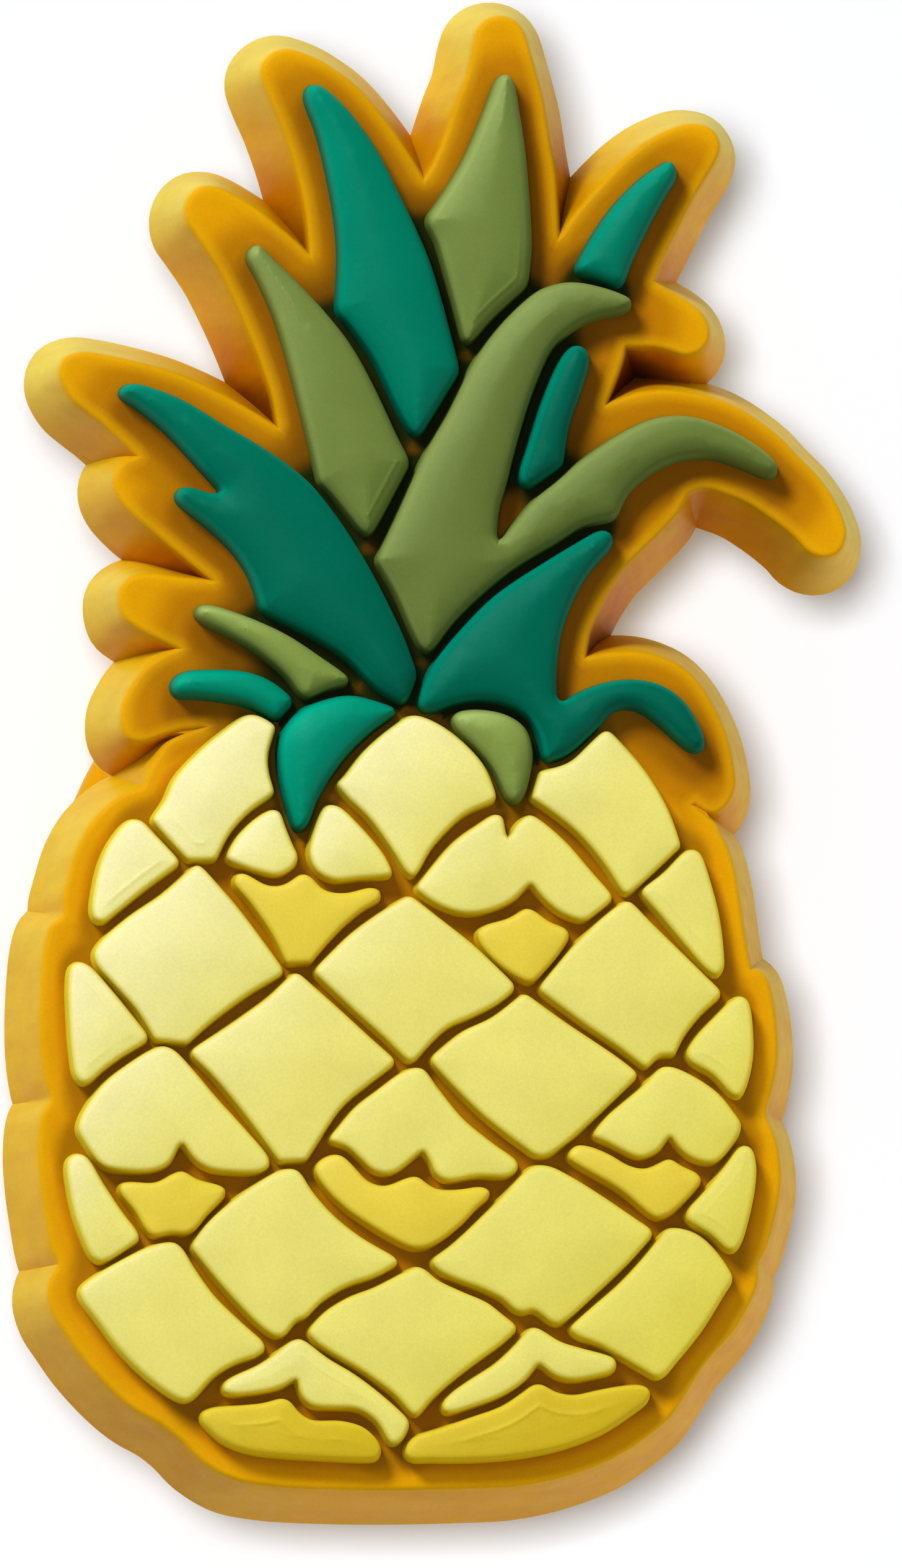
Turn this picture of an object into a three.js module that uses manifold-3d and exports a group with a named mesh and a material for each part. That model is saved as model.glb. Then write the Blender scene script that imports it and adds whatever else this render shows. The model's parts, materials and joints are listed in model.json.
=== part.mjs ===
import * as THREE from "three";
import Module from "manifold-3d";

const wasm = await Module();
wasm.setup();

// Sizes in millimetres. The charm lies face up, its stud's flat end on z = 0,
// the origin on the stud's axis, +y towards the crown's tips.
const capRadius = 6.8;
const capHeight = 1.9;
const capEdge = 0.55;
const neckRadius = 3.8;
const neckHeight = 4.6;
const neckFlare = 0.6;
const slabThickness = 3.0;
const slabDraft = 0.58;
const leafHeight = 0.9;
const scaleHeight = 0.75;
const bevelWidth = 0.12;
const bevelHeight = 0.2;
const curveStep = 0.6;
const cornerSteps = 3;
const studSides = 32;

// A corner takes up at most this share of a side next to it, keeps at least the
// smallest radius, and moves by at most 1 / sharpestMitre of the wanted distance.
const cornerShare = 0.45;
const smallestCorner = 0.02;
const sharpestMitre = 0.35;

const slabBack = capHeight + neckHeight;
const slabFace = slabBack + slabThickness;

const satin = { roughness: 0.5, metalness: 0 };
const amber = { color: 0xd08c08, ...satin };
const darkGreen = { color: 0x007a60, ...satin };
const olive = { color: 0x7c9248, ...satin };
const paleYellow = { color: 0xeae488, ...satin };
const deepYellow = { color: 0xe2cc40, ...satin };

// Every outline is a list of marks: [x, y] is a point on a smooth run, and
// [x, y, radius] is a corner. A corner of radius 0 stays sharp.

// The slab is one body under the fruit and a lobe round each leaf. The lobes
// run on under their neighbours, so only their free edges show.
const slabLobes = {
  body: [
    [-3.51, 3.64, 0.3], [-4.88, 3.12], [-5.14, 2.8], [-5.33, 2.47], [-5.43, 2.17, 0],
    [-5.79, 2.04], [-6.11, 1.83], [-6.5, 1.43], [-6.79, 0.91], [-6.99, 0.26], [-7.09, -0.13],
    [-7.11, -0.53, 0], [-7.36, -0.75], [-7.48, -1.17], [-7.55, -1.89], [-7.58, -2.73],
    [-7.55, -3.45], [-7.46, -4.03], [-7.37, -4.39, 0], [-7.54, -4.71], [-7.61, -5.33],
    [-7.58, -5.98], [-7.48, -6.73], [-7.32, -7.57], [-7.19, -7.84, 0], [-7.36, -8.16],
    [-7.41, -8.48], [-7.28, -8.93], [-7.02, -9.33], [-6.66, -9.84], [-6.08, -10.47],
    [-5.59, -10.88], [-5.01, -11.21], [-4.63, -11.51], [-4.21, -11.93], [-3.58, -12.3],
    [-2.8, -12.45], [-1.82, -12.51], [-0.39, -12.53], [1.37, -12.49], [2.42, -12.43],
    [3.12, -12.3], [3.82, -12.09], [4.52, -11.79], [5.1, -11.4], [5.59, -10.99],
    [5.89, -10.56, 0], [6.34, -9.85], [6.98, -9.1], [7.33, -8.46], [7.45, -8.09],
    [7.45, -7.8, 0], [7.63, -7.38], [7.81, -6.73], [7.92, -6.11], [7.9, -5.56], [7.8, -5.1],
    [7.62, -4.63, 0], [7.74, -4.12], [7.85, -3.51], [7.85, -2.86], [7.76, -2.21],
    [7.62, -1.76], [7.46, -1.63], [7.31, -1.59, 0], [7.19, -0.98], [7.09, -0.29],
    [6.97, 0.46], [6.81, 0.98], [6.67, 1.24], [6.54, 1.48], [6.37, 1.63], [6.14, 1.82, 0],
    [5.07, 2.6, 0.3], [2.21, 4.42, 0.3], [-0.65, 4.94, 0.3],
  ],
  crownHeart: [
    [3.25, 12.48, 0.3], [4.71, 11.7, 0.2], [4.64, 11.31], [4.52, 10.92], [4.36, 10.5],
    [4.23, 10.14, 0.2], [6.5, 9.04, 0.3], [5.95, 8.32], [5.8, 8.03], [5.33, 7.51],
    [4.68, 6.86], [4.36, 6.4], [4.1, 5.92], [3.9, 5.43], [3.84, 4.97],
    [3.64, 3.38, 0.3], [0.65, 1.82, 0.3], [-2.73, 3.12, 0.3], [-3.25, 7.02, 0.3],
    [-1.95, 9.88, 0.3], [-1.17, 11.44, 0.3],
  ],
  underTopLeft: [
    [-2.96, 17.16], [-2.93, 17.37], [-2.82, 17.52], [-2.64, 17.64], [-2.41, 17.68],
    [-1.82, 17.49], [-1.43, 17.26], [-1.11, 17.03], [-0.78, 16.71], [-0.26, 16.06],
    [0.23, 15.34], [0.44, 14.99], [1.17, 13.91, 0.3], [0.91, 11.44, 0.3],
    [-1.43, 11.44, 0.3], [-1.89, 12.61, 0.3], [-1.98, 13.91], [-2.04, 14.37],
    [-2.28, 15.34], [-2.6, 16.25], [-2.83, 16.77],
  ],
  underTopMiddle: [
    [1.53, 17.94], [1.63, 18.2], [1.82, 18.36], [2.08, 18.41], [2.34, 18.33],
    [2.51, 18.14], [2.7, 17.55], [2.93, 16.71], [3.09, 15.73], [3.2, 15.08],
    [3.25, 14.43], [3.28, 13.75], [3.32, 12.09, 0.3], [0.65, 11.31, 0.3], [0, 13.78, 0.3],
    [0.44, 14.95], [0.65, 15.31], [0.91, 15.93], [1.17, 16.71], [1.39, 17.29],
  ],
  underTopRight: [
    [6.66, 15.73], [6.59, 15.94], [6.45, 16.09], [6.21, 16.16], [5.92, 16.15],
    [5.59, 16.03], [5.2, 15.83], [4.81, 15.54], [4.16, 14.89], [3.51, 14.11],
    [3.28, 13.75], [2.73, 12.87, 0.3], [3.25, 11.44, 0.3], [4.94, 12.09, 0.3],
    [5.3, 12.9], [5.43, 13.26], [5.75, 13.91], [6.11, 14.63], [6.44, 15.18], [6.6, 15.47],
  ],
  underHighLeft: [
    [-4.55, 14.24], [-4.52, 14.46], [-4.41, 14.65], [-4.23, 14.77], [-3.97, 14.78],
    [-3.71, 14.69], [-2.99, 14.26], [-2.6, 13.94], [-2.21, 13.61], [-1.98, 13.39],
    [-0.91, 12.48, 0.3], [-0.13, 9.62, 0.3], [-2.21, 8.32, 0.3], [-2.61, 9.76],
    [-2.73, 10.4], [-2.93, 10.99], [-3.32, 11.96], [-3.9, 13.13], [-4.32, 13.75],
    [-4.5, 14.01],
  ],
  underHighRight: [
    [6.44, 11.7], [6.41, 11.96], [6.28, 12.19], [6.05, 12.39], [5.46, 12.74],
    [5.27, 12.87], [4.55, 13.39, 0.3], [2.99, 12.48, 0.3], [3.25, 11.47, 0.2],
    [4.94, 11.49], [5.33, 11.48], [5.66, 11.4], [5.92, 11.32], [6.15, 11.35],
    [6.34, 11.49],
  ],
  underLongLeft: [
    [-7.18, 10.79], [-7.09, 11.13], [-6.76, 11.27], [-6.31, 11.23], [-5.85, 11.14],
    [-4.81, 10.86], [-3.77, 10.4], [-2.86, 9.88], [-1.95, 9.3, 0.3], [-1.95, 7.67, 0.3],
    [-3.77, 7.54, 0.3], [-4.55, 8.19], [-5.66, 9.2], [-6.24, 9.75], [-6.96, 10.34],
  ],
  underBarb: [
    [-6.05, 8.52], [-6.01, 8.78], [-5.81, 9.02], [-5.49, 9.13], [-4.16, 9.1, 0.3],
    [-1.95, 8.06, 0.3], [-2.6, 7.02, 0.3], [-2.99, 5.72, 0.3], [-3.98, 6.51],
    [-4.42, 6.86], [-5.2, 7.51], [-5.59, 7.83], [-5.94, 8.22],
  ],
  underLowLeft: [
    [-5.94, 6.14], [-5.89, 6.37], [-5.69, 6.55], [-5.4, 6.63], [-4.55, 6.55],
    [-3.98, 6.5], [-2.6, 6.37, 0.3], [-2.6, 4.68, 0.3], [-3.77, 4.68, 0.3],
    [-4.88, 5.16], [-5.59, 5.53], [-5.85, 5.75],
  ],
  underShoulder: [
    [-5.89, 3.64], [-5.85, 3.93], [-5.56, 4.47], [-5.27, 4.77], [-4.94, 4.98],
    [-4.65, 5.08], [-3.51, 5.59, 0.3], [-2.21, 4.42, 0.3], [-3.25, 3.51, 0.3],
    [-4.65, 3.37], [-5.04, 3.25], [-5.27, 3.16], [-5.53, 3.12], [-5.75, 3.2],
    [-5.86, 3.38],
  ],
  underLongRight: [
    [9.31, 7.61], [9.23, 7.28], [9.05, 7.12], [8.78, 7.1], [8.52, 7.22], [8.32, 7.44],
    [8.06, 7.67], [7.67, 7.96], [7.22, 8.24], [6.76, 8.42], [6.37, 8.52], [5.98, 8.41],
    [4.81, 8.06, 0.3], [2.99, 7.54, 0.3], [2.73, 9.62, 0.3], [4.26, 10.24],
    [4.55, 10.37], [4.94, 10.5], [5.4, 10.56], [5.85, 10.54], [6.63, 10.37],
    [7.15, 10.14], [7.93, 9.58], [8.32, 9.17], [8.71, 8.78], [9.04, 8.32], [9.23, 7.93],
  ],
  underCurl: [
    [2.73, 4.42, 0.3], [3.84, 4.93], [4.23, 5.02], [4.68, 5.06], [5.07, 5.04],
    [5.46, 4.94], [5.85, 4.75], [6.18, 4.45], [6.5, 3.97], [6.79, 3.32], [6.94, 2.67],
    [6.97, 2.31], [6.9, 2.03], [6.76, 1.82], [6.58, 1.7], [6.38, 1.73], [6.14, 1.88, 0],
    [5.2, 1.5, 0.3], [3.77, 2.2, 0.3],
  ],
};

// The leaves, from the crown's top to its foot.
const leaves = [
  {
    tone: darkGreen,
    marks: [
      [-2.05, 16.54], [-2.08, 16.74], [-1.98, 16.9], [-1.79, 16.9], [-1.37, 16.58],
      [-0.65, 15.67], [-0.07, 14.56], [0.52, 13.26], [0.81, 12.32], [1.18, 10.89, 0.26],
      [0.72, 10.14], [0.27, 9.41, 0.2], [-0.03, 9.88], [-0.39, 10.63], [-0.65, 11.15],
      [-1.17, 11.86], [-1.43, 12.12, 0.25], [-1.37, 13.3], [-1.46, 14.3], [-1.82, 15.93],
    ],
  },
  {
    tone: olive,
    marks: [
      [1.95, 17.06], [2.05, 17.16], [2.2, 17.15], [2.31, 16.98], [2.42, 16.38],
      [2.54, 15.6], [2.68, 13.52], [2.6, 12.69, 0.3], [1.82, 11.96], [1.29, 11.36, 0.14],
      [1.14, 11.96], [0.91, 12.81], [0.65, 13.68], [0.43, 14.07, 0.25], [0.7, 14.46],
      [1.17, 15.21], [1.56, 16.06], [1.79, 16.64],
    ],
  },
  {
    tone: darkGreen,
    marks: [
      [5.43, 15.28], [5.54, 15.37], [5.69, 15.26], [5.73, 15.05], [5.46, 14.59],
      [5.07, 13.85], [4.73, 13.1], [4.58, 12.66, 0.2], [4.03, 12.86], [3.55, 13, 0.15],
      [3.97, 13.78], [4.49, 14.5], [5.14, 15.11],
    ],
  },
  {
    tone: olive,
    marks: [
      [-3.3, 13.29], [-3.21, 13.49], [-3.06, 13.55], [-2.9, 13.39], [-1.95, 12.44],
      [-1.17, 11.51], [-0.65, 10.6], [-0.13, 9.49], [0.14, 8.97, 0.22], [-0.46, 7.83],
      [-0.75, 7.32, 0.18], [-1.24, 7.93], [-1.56, 8.32], [-1.79, 8.54, 0.2],
      [-1.92, 9.1], [-2.11, 9.88], [-2.41, 11.05], [-2.73, 12.09], [-3.12, 12.94],
    ],
  },
  {
    tone: darkGreen,
    marks: [
      [-5.97, 10.37], [-5.9, 10.54], [-5.69, 10.6], [-4.73, 10.3], [-3.81, 9.76],
      [-2.81, 9.17], [-1.95, 8.5], [-1.42, 7.84], [-0.82, 6.92], [-0.36, 6.06], [0, 5.3],
      [0.29, 4.51, 0.3], [0.03, 3.87, 0.16], [-0.62, 4.26], [-1.22, 4.86], [-1.82, 5.25],
      [-2.48, 5.59], [-2.99, 5.84, 0.2], [-3.2, 6.5], [-3.54, 7.05], [-4.07, 7.58],
      [-4.55, 7.96], [-4.78, 8.18], [-4.75, 8.37], [-4.52, 8.44], [-4.16, 8.32],
      [-3.77, 8.28, 0.06], [-4.34, 8.91], [-5.01, 9.63], [-5.67, 10.17],
    ],
  },
  {
    tone: olive,
    marks: [
      [-0.6, 6.92, 0.14], [-0.12, 7.96], [0.39, 9.1], [0.91, 10.01], [1.39, 10.99],
      [1.82, 11.64], [2.34, 12.22], [2.83, 12.61], [3.45, 12.79], [4.1, 12.7],
      [4.62, 12.52], [4.78, 12.42], [4.78, 12.26], [4.63, 12.17], [3.84, 11.96],
      [3.16, 11.44], [2.83, 10.79], [2.57, 10.08], [2.38, 9.43], [2.15, 8.55],
      [1.99, 7.96], [1.94, 7.25, 0.07], [2.34, 7.76], [2.69, 8.18], [3.19, 8.59],
      [3.58, 8.94], [4.03, 9.28], [4.55, 9.62], [5.2, 9.92], [5.85, 10], [6.5, 9.85],
      [7.15, 9.54], [7.67, 9.17], [7.85, 8.93], [7.8, 8.72], [7.62, 8.72], [7.09, 8.94],
      [6.44, 9.13], [5.72, 9.05], [5.14, 8.75], [4.68, 8.32], [4.45, 7.83, 0.2],
      [3.78, 7.66], [3.22, 7.3], [2.34, 6.77], [1.64, 6.2], [1, 5.56],
      [0.47, 4.84, 0.22], [0.14, 5.47], [-0.18, 6.2],
    ],
  },
  {
    tone: darkGreen,
    marks: [
      [3.41, 11.35], [3.58, 11.47], [3.78, 11.41], [3.89, 11.23], [3.71, 10.5],
      [3.48, 9.85], [3.33, 8.92, 0.15], [2.83, 8.57], [2.65, 8.46], [2.47, 8.53],
      [2.41, 8.71], [2.6, 9.36], [2.89, 10.27], [3.2, 11.02],
    ],
  },
  {
    tone: olive,
    marks: [
      [-4.38, 5.76], [-4.32, 5.93], [-4.12, 5.97], [-3.3, 5.72], [-2.42, 5.32],
      [-1.72, 4.86], [-1.01, 4.36, 0.16], [-1.6, 4.19], [-2.09, 3.95, 0.18],
      [-2.43, 4.42], [-2.99, 4.91], [-3.77, 5.37], [-4.23, 5.6],
    ],
  },
  {
    tone: darkGreen,
    marks: [
      [-4.88, 4.19], [-4.85, 4.38], [-4.65, 4.54], [-4, 4.6], [-3.25, 4.55],
      [-2.73, 4.33], [-2.26, 3.95, 0.2], [-2.65, 3.51, 0.15], [-3.25, 3.85],
      [-3.84, 3.97], [-4.42, 4.03], [-4.75, 4.04],
    ],
  },
  {
    tone: darkGreen,
    marks: [
      [4.14, 7.59], [4.31, 7.55], [4.4, 7.41], [4.33, 7.22], [3.89, 6.72], [3.54, 6.1],
      [3.29, 5.38], [3.2, 4.55], [3.22, 3.9, 0.1], [3.68, 4.17], [4.2, 4.37],
      [4.84, 4.45], [5.43, 4.32], [5.89, 3.98], [6.19, 3.5], [6.31, 3.16], [6.27, 2.98],
      [6.11, 2.93], [5.82, 3.11], [5.37, 3.52], [4.84, 3.85], [4.38, 3.8], [4.03, 3.38],
      [3.54, 2.93], [3.29, 2.78], [2.94, 2.68, 0.18], [2.86, 3.12], [2.63, 3.6],
      [2.16, 3.89], [1.64, 3.99], [1.01, 3.89], [0.59, 3.74], [0.26, 3.8, 0.14],
      [0.39, 4.32], [0.65, 4.82], [1.27, 5.57], [1.93, 6.22], [2.82, 6.82], [3.67, 7.34],
    ],
  },
  {
    tone: darkGreen,
    marks: [
      [-2.64, 3.06], [-2.52, 3.41], [-2.18, 3.77], [-1.66, 3.99], [-1.11, 4.08],
      [-0.55, 3.95], [-0.05, 3.77, 0.16], [-0.61, 3.37], [-1.11, 2.91], [-1.52, 2.38],
      [-1.81, 1.9], [-1.98, 1.42], [-2.11, 1.24], [-2.29, 1.25], [-2.38, 1.5],
      [-2.54, 2.05], [-2.63, 2.54],
    ],
  },
  {
    tone: olive,
    marks: [
      [0.98, 3.6], [1.08, 3.73], [1.53, 3.8], [2.17, 3.68], [2.56, 3.39], [2.7, 2.94],
      [2.64, 2.38], [2.51, 1.95], [2.34, 1.81], [2.18, 1.9], [1.87, 2.51], [1.48, 2.98],
      [1.09, 3.35],
    ],
  },
];

// The pale scales, row by row from the shoulder down.
const scales = [
  [
    [-3.77, 3.35], [-3.25, 3.67], [-2.92, 3.58], [-2.68, 3.41, 0.1], [-2.85, 2.8],
    [-2.82, 2.4], [-2.7, 2, 0.12], [-3.25, 1.6], [-3.67, 1.12], [-3.95, 0.57, 0.15],
    [-4.55, 0.57, 0.15], [-5.33, 1.43, 0.12], [-5.04, 1.86], [-4.84, 2.31], [-4.32, 2.89],
  ],
  [
    [-1.46, 2.21, 0.12], [-1.3, 2.35], [-0.88, 2.89], [-0.26, 3.43], [0.16, 3.67],
    [0.6, 3.55], [1.17, 3.17], [1.69, 2.6], [1.98, 1.89, 0.14], [1.52, 1.7],
    [1.2, 1.52], [0.61, 0.91], [0.16, 0.13, 0.18], [-0.33, 0.9], [-0.75, 1.47],
    [-1.21, 1.91],
  ],
  [
    [4.24, 3.43, 0.15], [4.55, 3.12], [5.07, 2.51], [5.53, 1.74], [5.82, 0.94, 0.12],
    [5.03, 0.18], [4.64, -0.16, 0.14], [4.17, 0.55], [3.63, 1.18], [2.99, 1.69],
    [2.64, 1.92, 0.1], [2.83, 2.5, 0.1], [3.45, 2.7], [3.87, 3.09],
  ],
  [
    [-5.84, 1.4], [-5.68, 1.47], [-5.51, 1.43], [-5.19, 1.11], [-4.65, 0.53, 0.12],
    [-5.41, -0.03], [-6.07, -0.57], [-6.31, -0.74], [-6.5, -0.68], [-6.57, -0.49],
    [-6.53, -0.07], [-6.38, 0.57], [-6.14, 1.05],
  ],
  [
    [-2.76, 1.68], [-2.6, 1.63], [-2.51, 1.38], [-2.34, 0.95], [-2.22, 0.68],
    [-2.3, 0.47], [-2.63, 0.26], [-3.06, 0.33], [-3.46, 0.47], [-3.81, 0.61, 0.14],
    [-3.52, 1.11], [-3.07, 1.53],
  ],
  [
    [-1.66, 1.76], [-1.5, 1.79], [-1.34, 1.73], [-0.86, 1.27], [-0.42, 0.74],
    [-0.18, 0.27, 0.13], [-0.96, 0.21], [-1.46, 0.16], [-1.85, 0.35], [-2.02, 0.74],
    [-1.94, 1.14], [-1.79, 1.56],
  ],
  [
    [0.18, 0.01, 0.12], [0.51, 0.43], [1.04, 1.03], [1.53, 1.38], [1.91, 1.61],
    [2.07, 1.55], [2.11, 1.33], [2.16, 1.07, 0.05], [2.33, 1.39], [2.63, 1.6],
    [2.83, 1.5], [3.38, 1.04], [3.94, 0.4], [4.43, -0.16, 0.14], [3.97, -0.53],
    [3.77, -0.65], [3.32, -0.52], [2.93, -0.22], [2.64, 0.13, 0.06], [2.29, -0.22],
    [1.77, -0.46], [1.2, -0.51], [0.68, -0.33],
  ],
  [
    [5.88, 0.85], [6.05, 0.9], [6.2, 0.82], [6.44, 0.17], [6.62, -0.56], [6.71, -1.3],
    [6.71, -1.6], [6.57, -1.79], [6.37, -1.7], [5.88, -1.16], [5.32, -0.49],
    [4.9, -0.01, 0.13], [5.42, 0.39],
  ],
  [
    [-4.33, 0.57, 0.2], [-3.55, -0.3], [-2.99, -1.03], [-2.47, -1.76, 0.13],
    [-3.19, -2.18], [-4.06, -2.83], [-4.55, -3.28, 0.14], [-5.23, -3.2, 0.14],
    [-5.6, -2.6], [-6.14, -1.99], [-6.46, -1.63], [-6.53, -1.37], [-6.42, -1.16],
    [-5.82, -0.61], [-5.12, -0.13],
  ],
  [
    [0.1, -0.09, 0.15], [0.79, -0.62], [1.5, -1.18], [2.39, -2.04, 0.14],
    [2, -2.37], [1.43, -2.67], [0.91, -2.9], [0.61, -3.17], [0.14, -3.69, 0.15],
    [-0.39, -3.17], [-1.07, -2.56], [-1.95, -1.73, 0.13], [-1.17, -0.95],
    [-0.61, -0.53],
  ],
  [
    [4.68, -0.14, 0.17], [5.17, -0.64], [6.02, -1.47], [6.71, -2.15, 0.14],
    [6.25, -2.57], [5.86, -3.07], [5.67, -3.46, 0.12], [5.33, -3.48],
    [5.08, -3.76, 0.12], [4.5, -3.32], [3.8, -2.85], [2.76, -2.08, 0.13],
    [3.51, -1.17], [4.1, -0.59],
  ],
  [
    [-7.01, -1.64], [-6.84, -1.53], [-6.62, -1.6], [-6.06, -2.2], [-5.29, -3.16, 0.14],
    [-5.92, -3.55], [-6.37, -3.89], [-6.55, -4.06], [-6.73, -4.12], [-6.89, -3.97],
    [-6.99, -3.43], [-7.05, -2.6],
  ],
  [
    [6.89, -2.24], [7.06, -2.18], [7.22, -2.3], [7.32, -2.93], [7.31, -3.56],
    [7.15, -4.16], [7.03, -4.33], [6.88, -4.3], [6.46, -3.87], [5.97, -3.58],
    [5.89, -3.42], [6.07, -3.08], [6.53, -2.59],
  ],
  [
    [-2.28, -1.69, 0.18], [-1.39, -2.47], [-0.69, -3.11], [-0.13, -3.61, 0.14],
    [-0.75, -4.1], [-1.29, -4.56], [-1.74, -5.21], [-2.05, -5.71, 0.13],
    [-2.63, -5.73, 0.12], [-3.35, -4.76], [-4.06, -3.91], [-4.56, -3.43, 0.13],
    [-3.85, -2.96], [-2.86, -2.25],
  ],
  [
    [2.51, -2.13, 0.14], [3.41, -2.77], [4.46, -3.47], [4.95, -3.85, 0.12],
    [4.17, -4.62], [3.34, -5.36], [2.99, -5.59], [2.76, -5.59], [2.48, -5.4],
    [1.65, -4.76], [0.87, -3.99], [0.48, -3.55, 0.14], [1.22, -2.95], [1.79, -2.68],
  ],
  [
    [-5.25, -3.34], [-5.03, -3.29], [-4.81, -3.38], [-3.95, -4.34], [-3.25, -5.11],
    [-2.83, -5.63], [-2.82, -5.81], [-2.99, -5.94], [-3.77, -5.95], [-4.1, -5.89],
    [-4.38, -5.72], [-4.67, -5.33, 0.06], [-4.94, -5.8], [-5.27, -5.94],
    [-5.79, -5.95], [-6.31, -5.85], [-6.53, -5.62], [-6.7, -5.36], [-6.86, -5.06],
    [-6.77, -4.73], [-6.34, -4.11], [-5.75, -3.64],
  ],
  [
    [-0.13, -3.86], [0.14, -3.73], [0.38, -3.73], [0.69, -4.12], [1.22, -4.77],
    [1.92, -5.34], [2.38, -5.69], [2.39, -5.84], [2.21, -6.01], [1.51, -6.02],
    [0.91, -6.12], [0.64, -5.98], [0.51, -5.67], [0.38, -5.49, 0.05], [0.1, -5.72],
    [-0.26, -5.97], [-0.65, -5.92], [-0.91, -5.69], [-1.21, -5.42],
    [-1.66, -5.28, 0.13], [-1.42, -5], [-1.04, -4.55], [-0.57, -4.19],
  ],
  [
    [5.38, -3.69], [5.59, -3.67], [6.05, -3.86], [6.6, -4.24], [6.92, -4.64],
    [7.06, -4.84], [7.07, -4.97], [6.89, -5.32], [6.63, -5.63], [6.44, -5.72],
    [6.05, -5.64], [5.76, -5.42], [5.56, -5.15, 0.05], [5.33, -5.46], [4.94, -5.62],
    [4.62, -5.5], [4.19, -5.28], [3.87, -5.16, 0.13], [4.23, -4.72], [4.94, -4.12],
  ],
  [
    [-7.09, -5.89], [-7.06, -5.68], [-6.89, -5.55], [-6.67, -5.6], [-6.27, -6.21],
    [-5.88, -6.79], [-5.56, -7.22], [-5.54, -7.36], [-5.77, -7.54], [-6.19, -7.81],
    [-6.37, -7.85], [-6.53, -7.77], [-6.72, -7.41], [-6.92, -6.85],
  ],
  [
    [6.99, -5.37], [7.14, -5.3], [7.29, -5.38], [7.38, -5.69], [7.37, -6.14],
    [7.22, -6.89], [7.07, -7.36], [6.93, -7.55], [6.77, -7.54], [6.44, -7.24],
    [6.1, -7.03], [5.9, -6.89], [5.9, -6.72], [6.28, -6.28], [6.73, -5.72],
  ],
  [
    [-2.76, -5.95], [-2.54, -5.86], [-2.31, -5.85], [-2.16, -5.95], [-1.95, -6.28],
    [-1.5, -6.8], [-0.94, -7.25], [0, -7.8, 0.16], [-0.65, -8.14], [-1.21, -8.33],
    [-1.74, -8.66], [-2.08, -9], [-2.26, -9.05], [-2.41, -9.26], [-2.57, -9.39],
    [-2.76, -9.37], [-3.07, -9.14], [-3.84, -8.33], [-4.51, -7.5, 0.14],
    [-4.16, -7.02], [-3.59, -6.5],
  ],
  [
    [2.52, -5.88], [2.7, -5.76], [3.02, -5.76], [3.47, -5.97], [4.17, -6.4],
    [4.82, -6.84], [5.28, -7.15, 0.14], [4.76, -7.75], [3.98, -8.5], [3.46, -8.97],
    [3.25, -9.11], [3.06, -9.07], [2.83, -8.89], [2.68, -8.81], [2.5, -8.88],
    [2.29, -8.81], [2.08, -8.61], [1.69, -8.41], [1.07, -8.18], [0.72, -8.01],
    [0.49, -7.79, 0.14], [0.96, -7.44], [1.5, -6.94], [2.02, -6.42],
  ],
  [
    [-5.27, -7.46], [-4.81, -7.4], [-4.63, -7.54], [-4.41, -7.9], [-3.98, -8.5],
    [-3.21, -9.24], [-2.96, -9.46], [-2.89, -9.62], [-3.06, -9.79], [-3.52, -9.95],
    [-3.98, -10.23], [-4.42, -10.69], [-4.59, -10.75], [-4.81, -10.67],
    [-5.42, -10.23], [-5.95, -9.71], [-6.41, -9.1], [-6.77, -8.62], [-6.81, -8.42],
    [-6.71, -8.27], [-6.27, -7.97],
  ],
  [
    [0.07, -7.96], [0.27, -7.88], [0.46, -7.96], [0.68, -8.15], [1.18, -8.39],
    [1.74, -8.63], [2.05, -8.87], [2.43, -9.17, 0.15], [2.02, -9.54], [1.53, -9.89],
    [1, -10.31], [0.56, -10.71], [0.23, -11.1, 0.15], [-0.18, -10.63],
    [-0.94, -10.08], [-1.5, -9.75], [-1.85, -9.52], [-2.08, -9.28, 0.14],
    [-1.68, -8.85], [-1.17, -8.53], [-0.65, -8.33],
  ],
  [
    [5.36, -7.22], [5.49, -7.07], [5.75, -7.05], [6.18, -7.2], [6.57, -7.57],
    [6.84, -7.97], [6.9, -8.11], [6.73, -8.4], [6.27, -9.15], [5.73, -9.83],
    [5.43, -10.17], [5.27, -10.22], [5.07, -10.11], [4.62, -9.85], [4.08, -9.54],
    [3.61, -9.36], [3.41, -9.18, 0.13], [3.94, -8.7], [4.47, -8.24], [4.99, -7.68],
  ],
  [
    [-3.81, -10.53], [-3.81, -10.36], [-3.61, -10.21], [-3.09, -9.97], [-2.8, -9.78],
    [-2.37, -9.45], [-2.2, -9.4], [-2.03, -9.48], [-1.61, -9.8], [-1.04, -10.14],
    [-0.48, -10.56], [0.01, -11], [0.12, -11.14], [0.03, -11.44], [-0.13, -11.62],
    [-0.31, -11.62], [-0.43, -11.41], [-0.61, -11.14], [-0.98, -10.91],
    [-1.56, -10.88], [-1.95, -10.84], [-2.13, -10.69], [-2.22, -10.48],
    [-2.26, -10.27, 0.05], [-2.54, -10.44], [-2.99, -10.56], [-3.64, -10.61],
  ],
  [
    [2.6, -9.18], [2.74, -9.14], [2.93, -9.23], [3.25, -9.43], [3.77, -9.59],
    [4.23, -9.71], [4.42, -9.8], [4.47, -9.96], [4.36, -10.1], [3.98, -10.21],
    [3.51, -10.28], [3.15, -10.19], [2.81, -9.93, 0.06], [2.5, -10.31], [2, -10.63],
    [1.43, -10.84], [1.01, -10.97], [0.82, -10.95], [0.77, -10.78], [0.96, -10.54],
    [1.38, -10.24], [1.89, -9.91], [2.33, -9.49],
  ],
];

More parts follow.
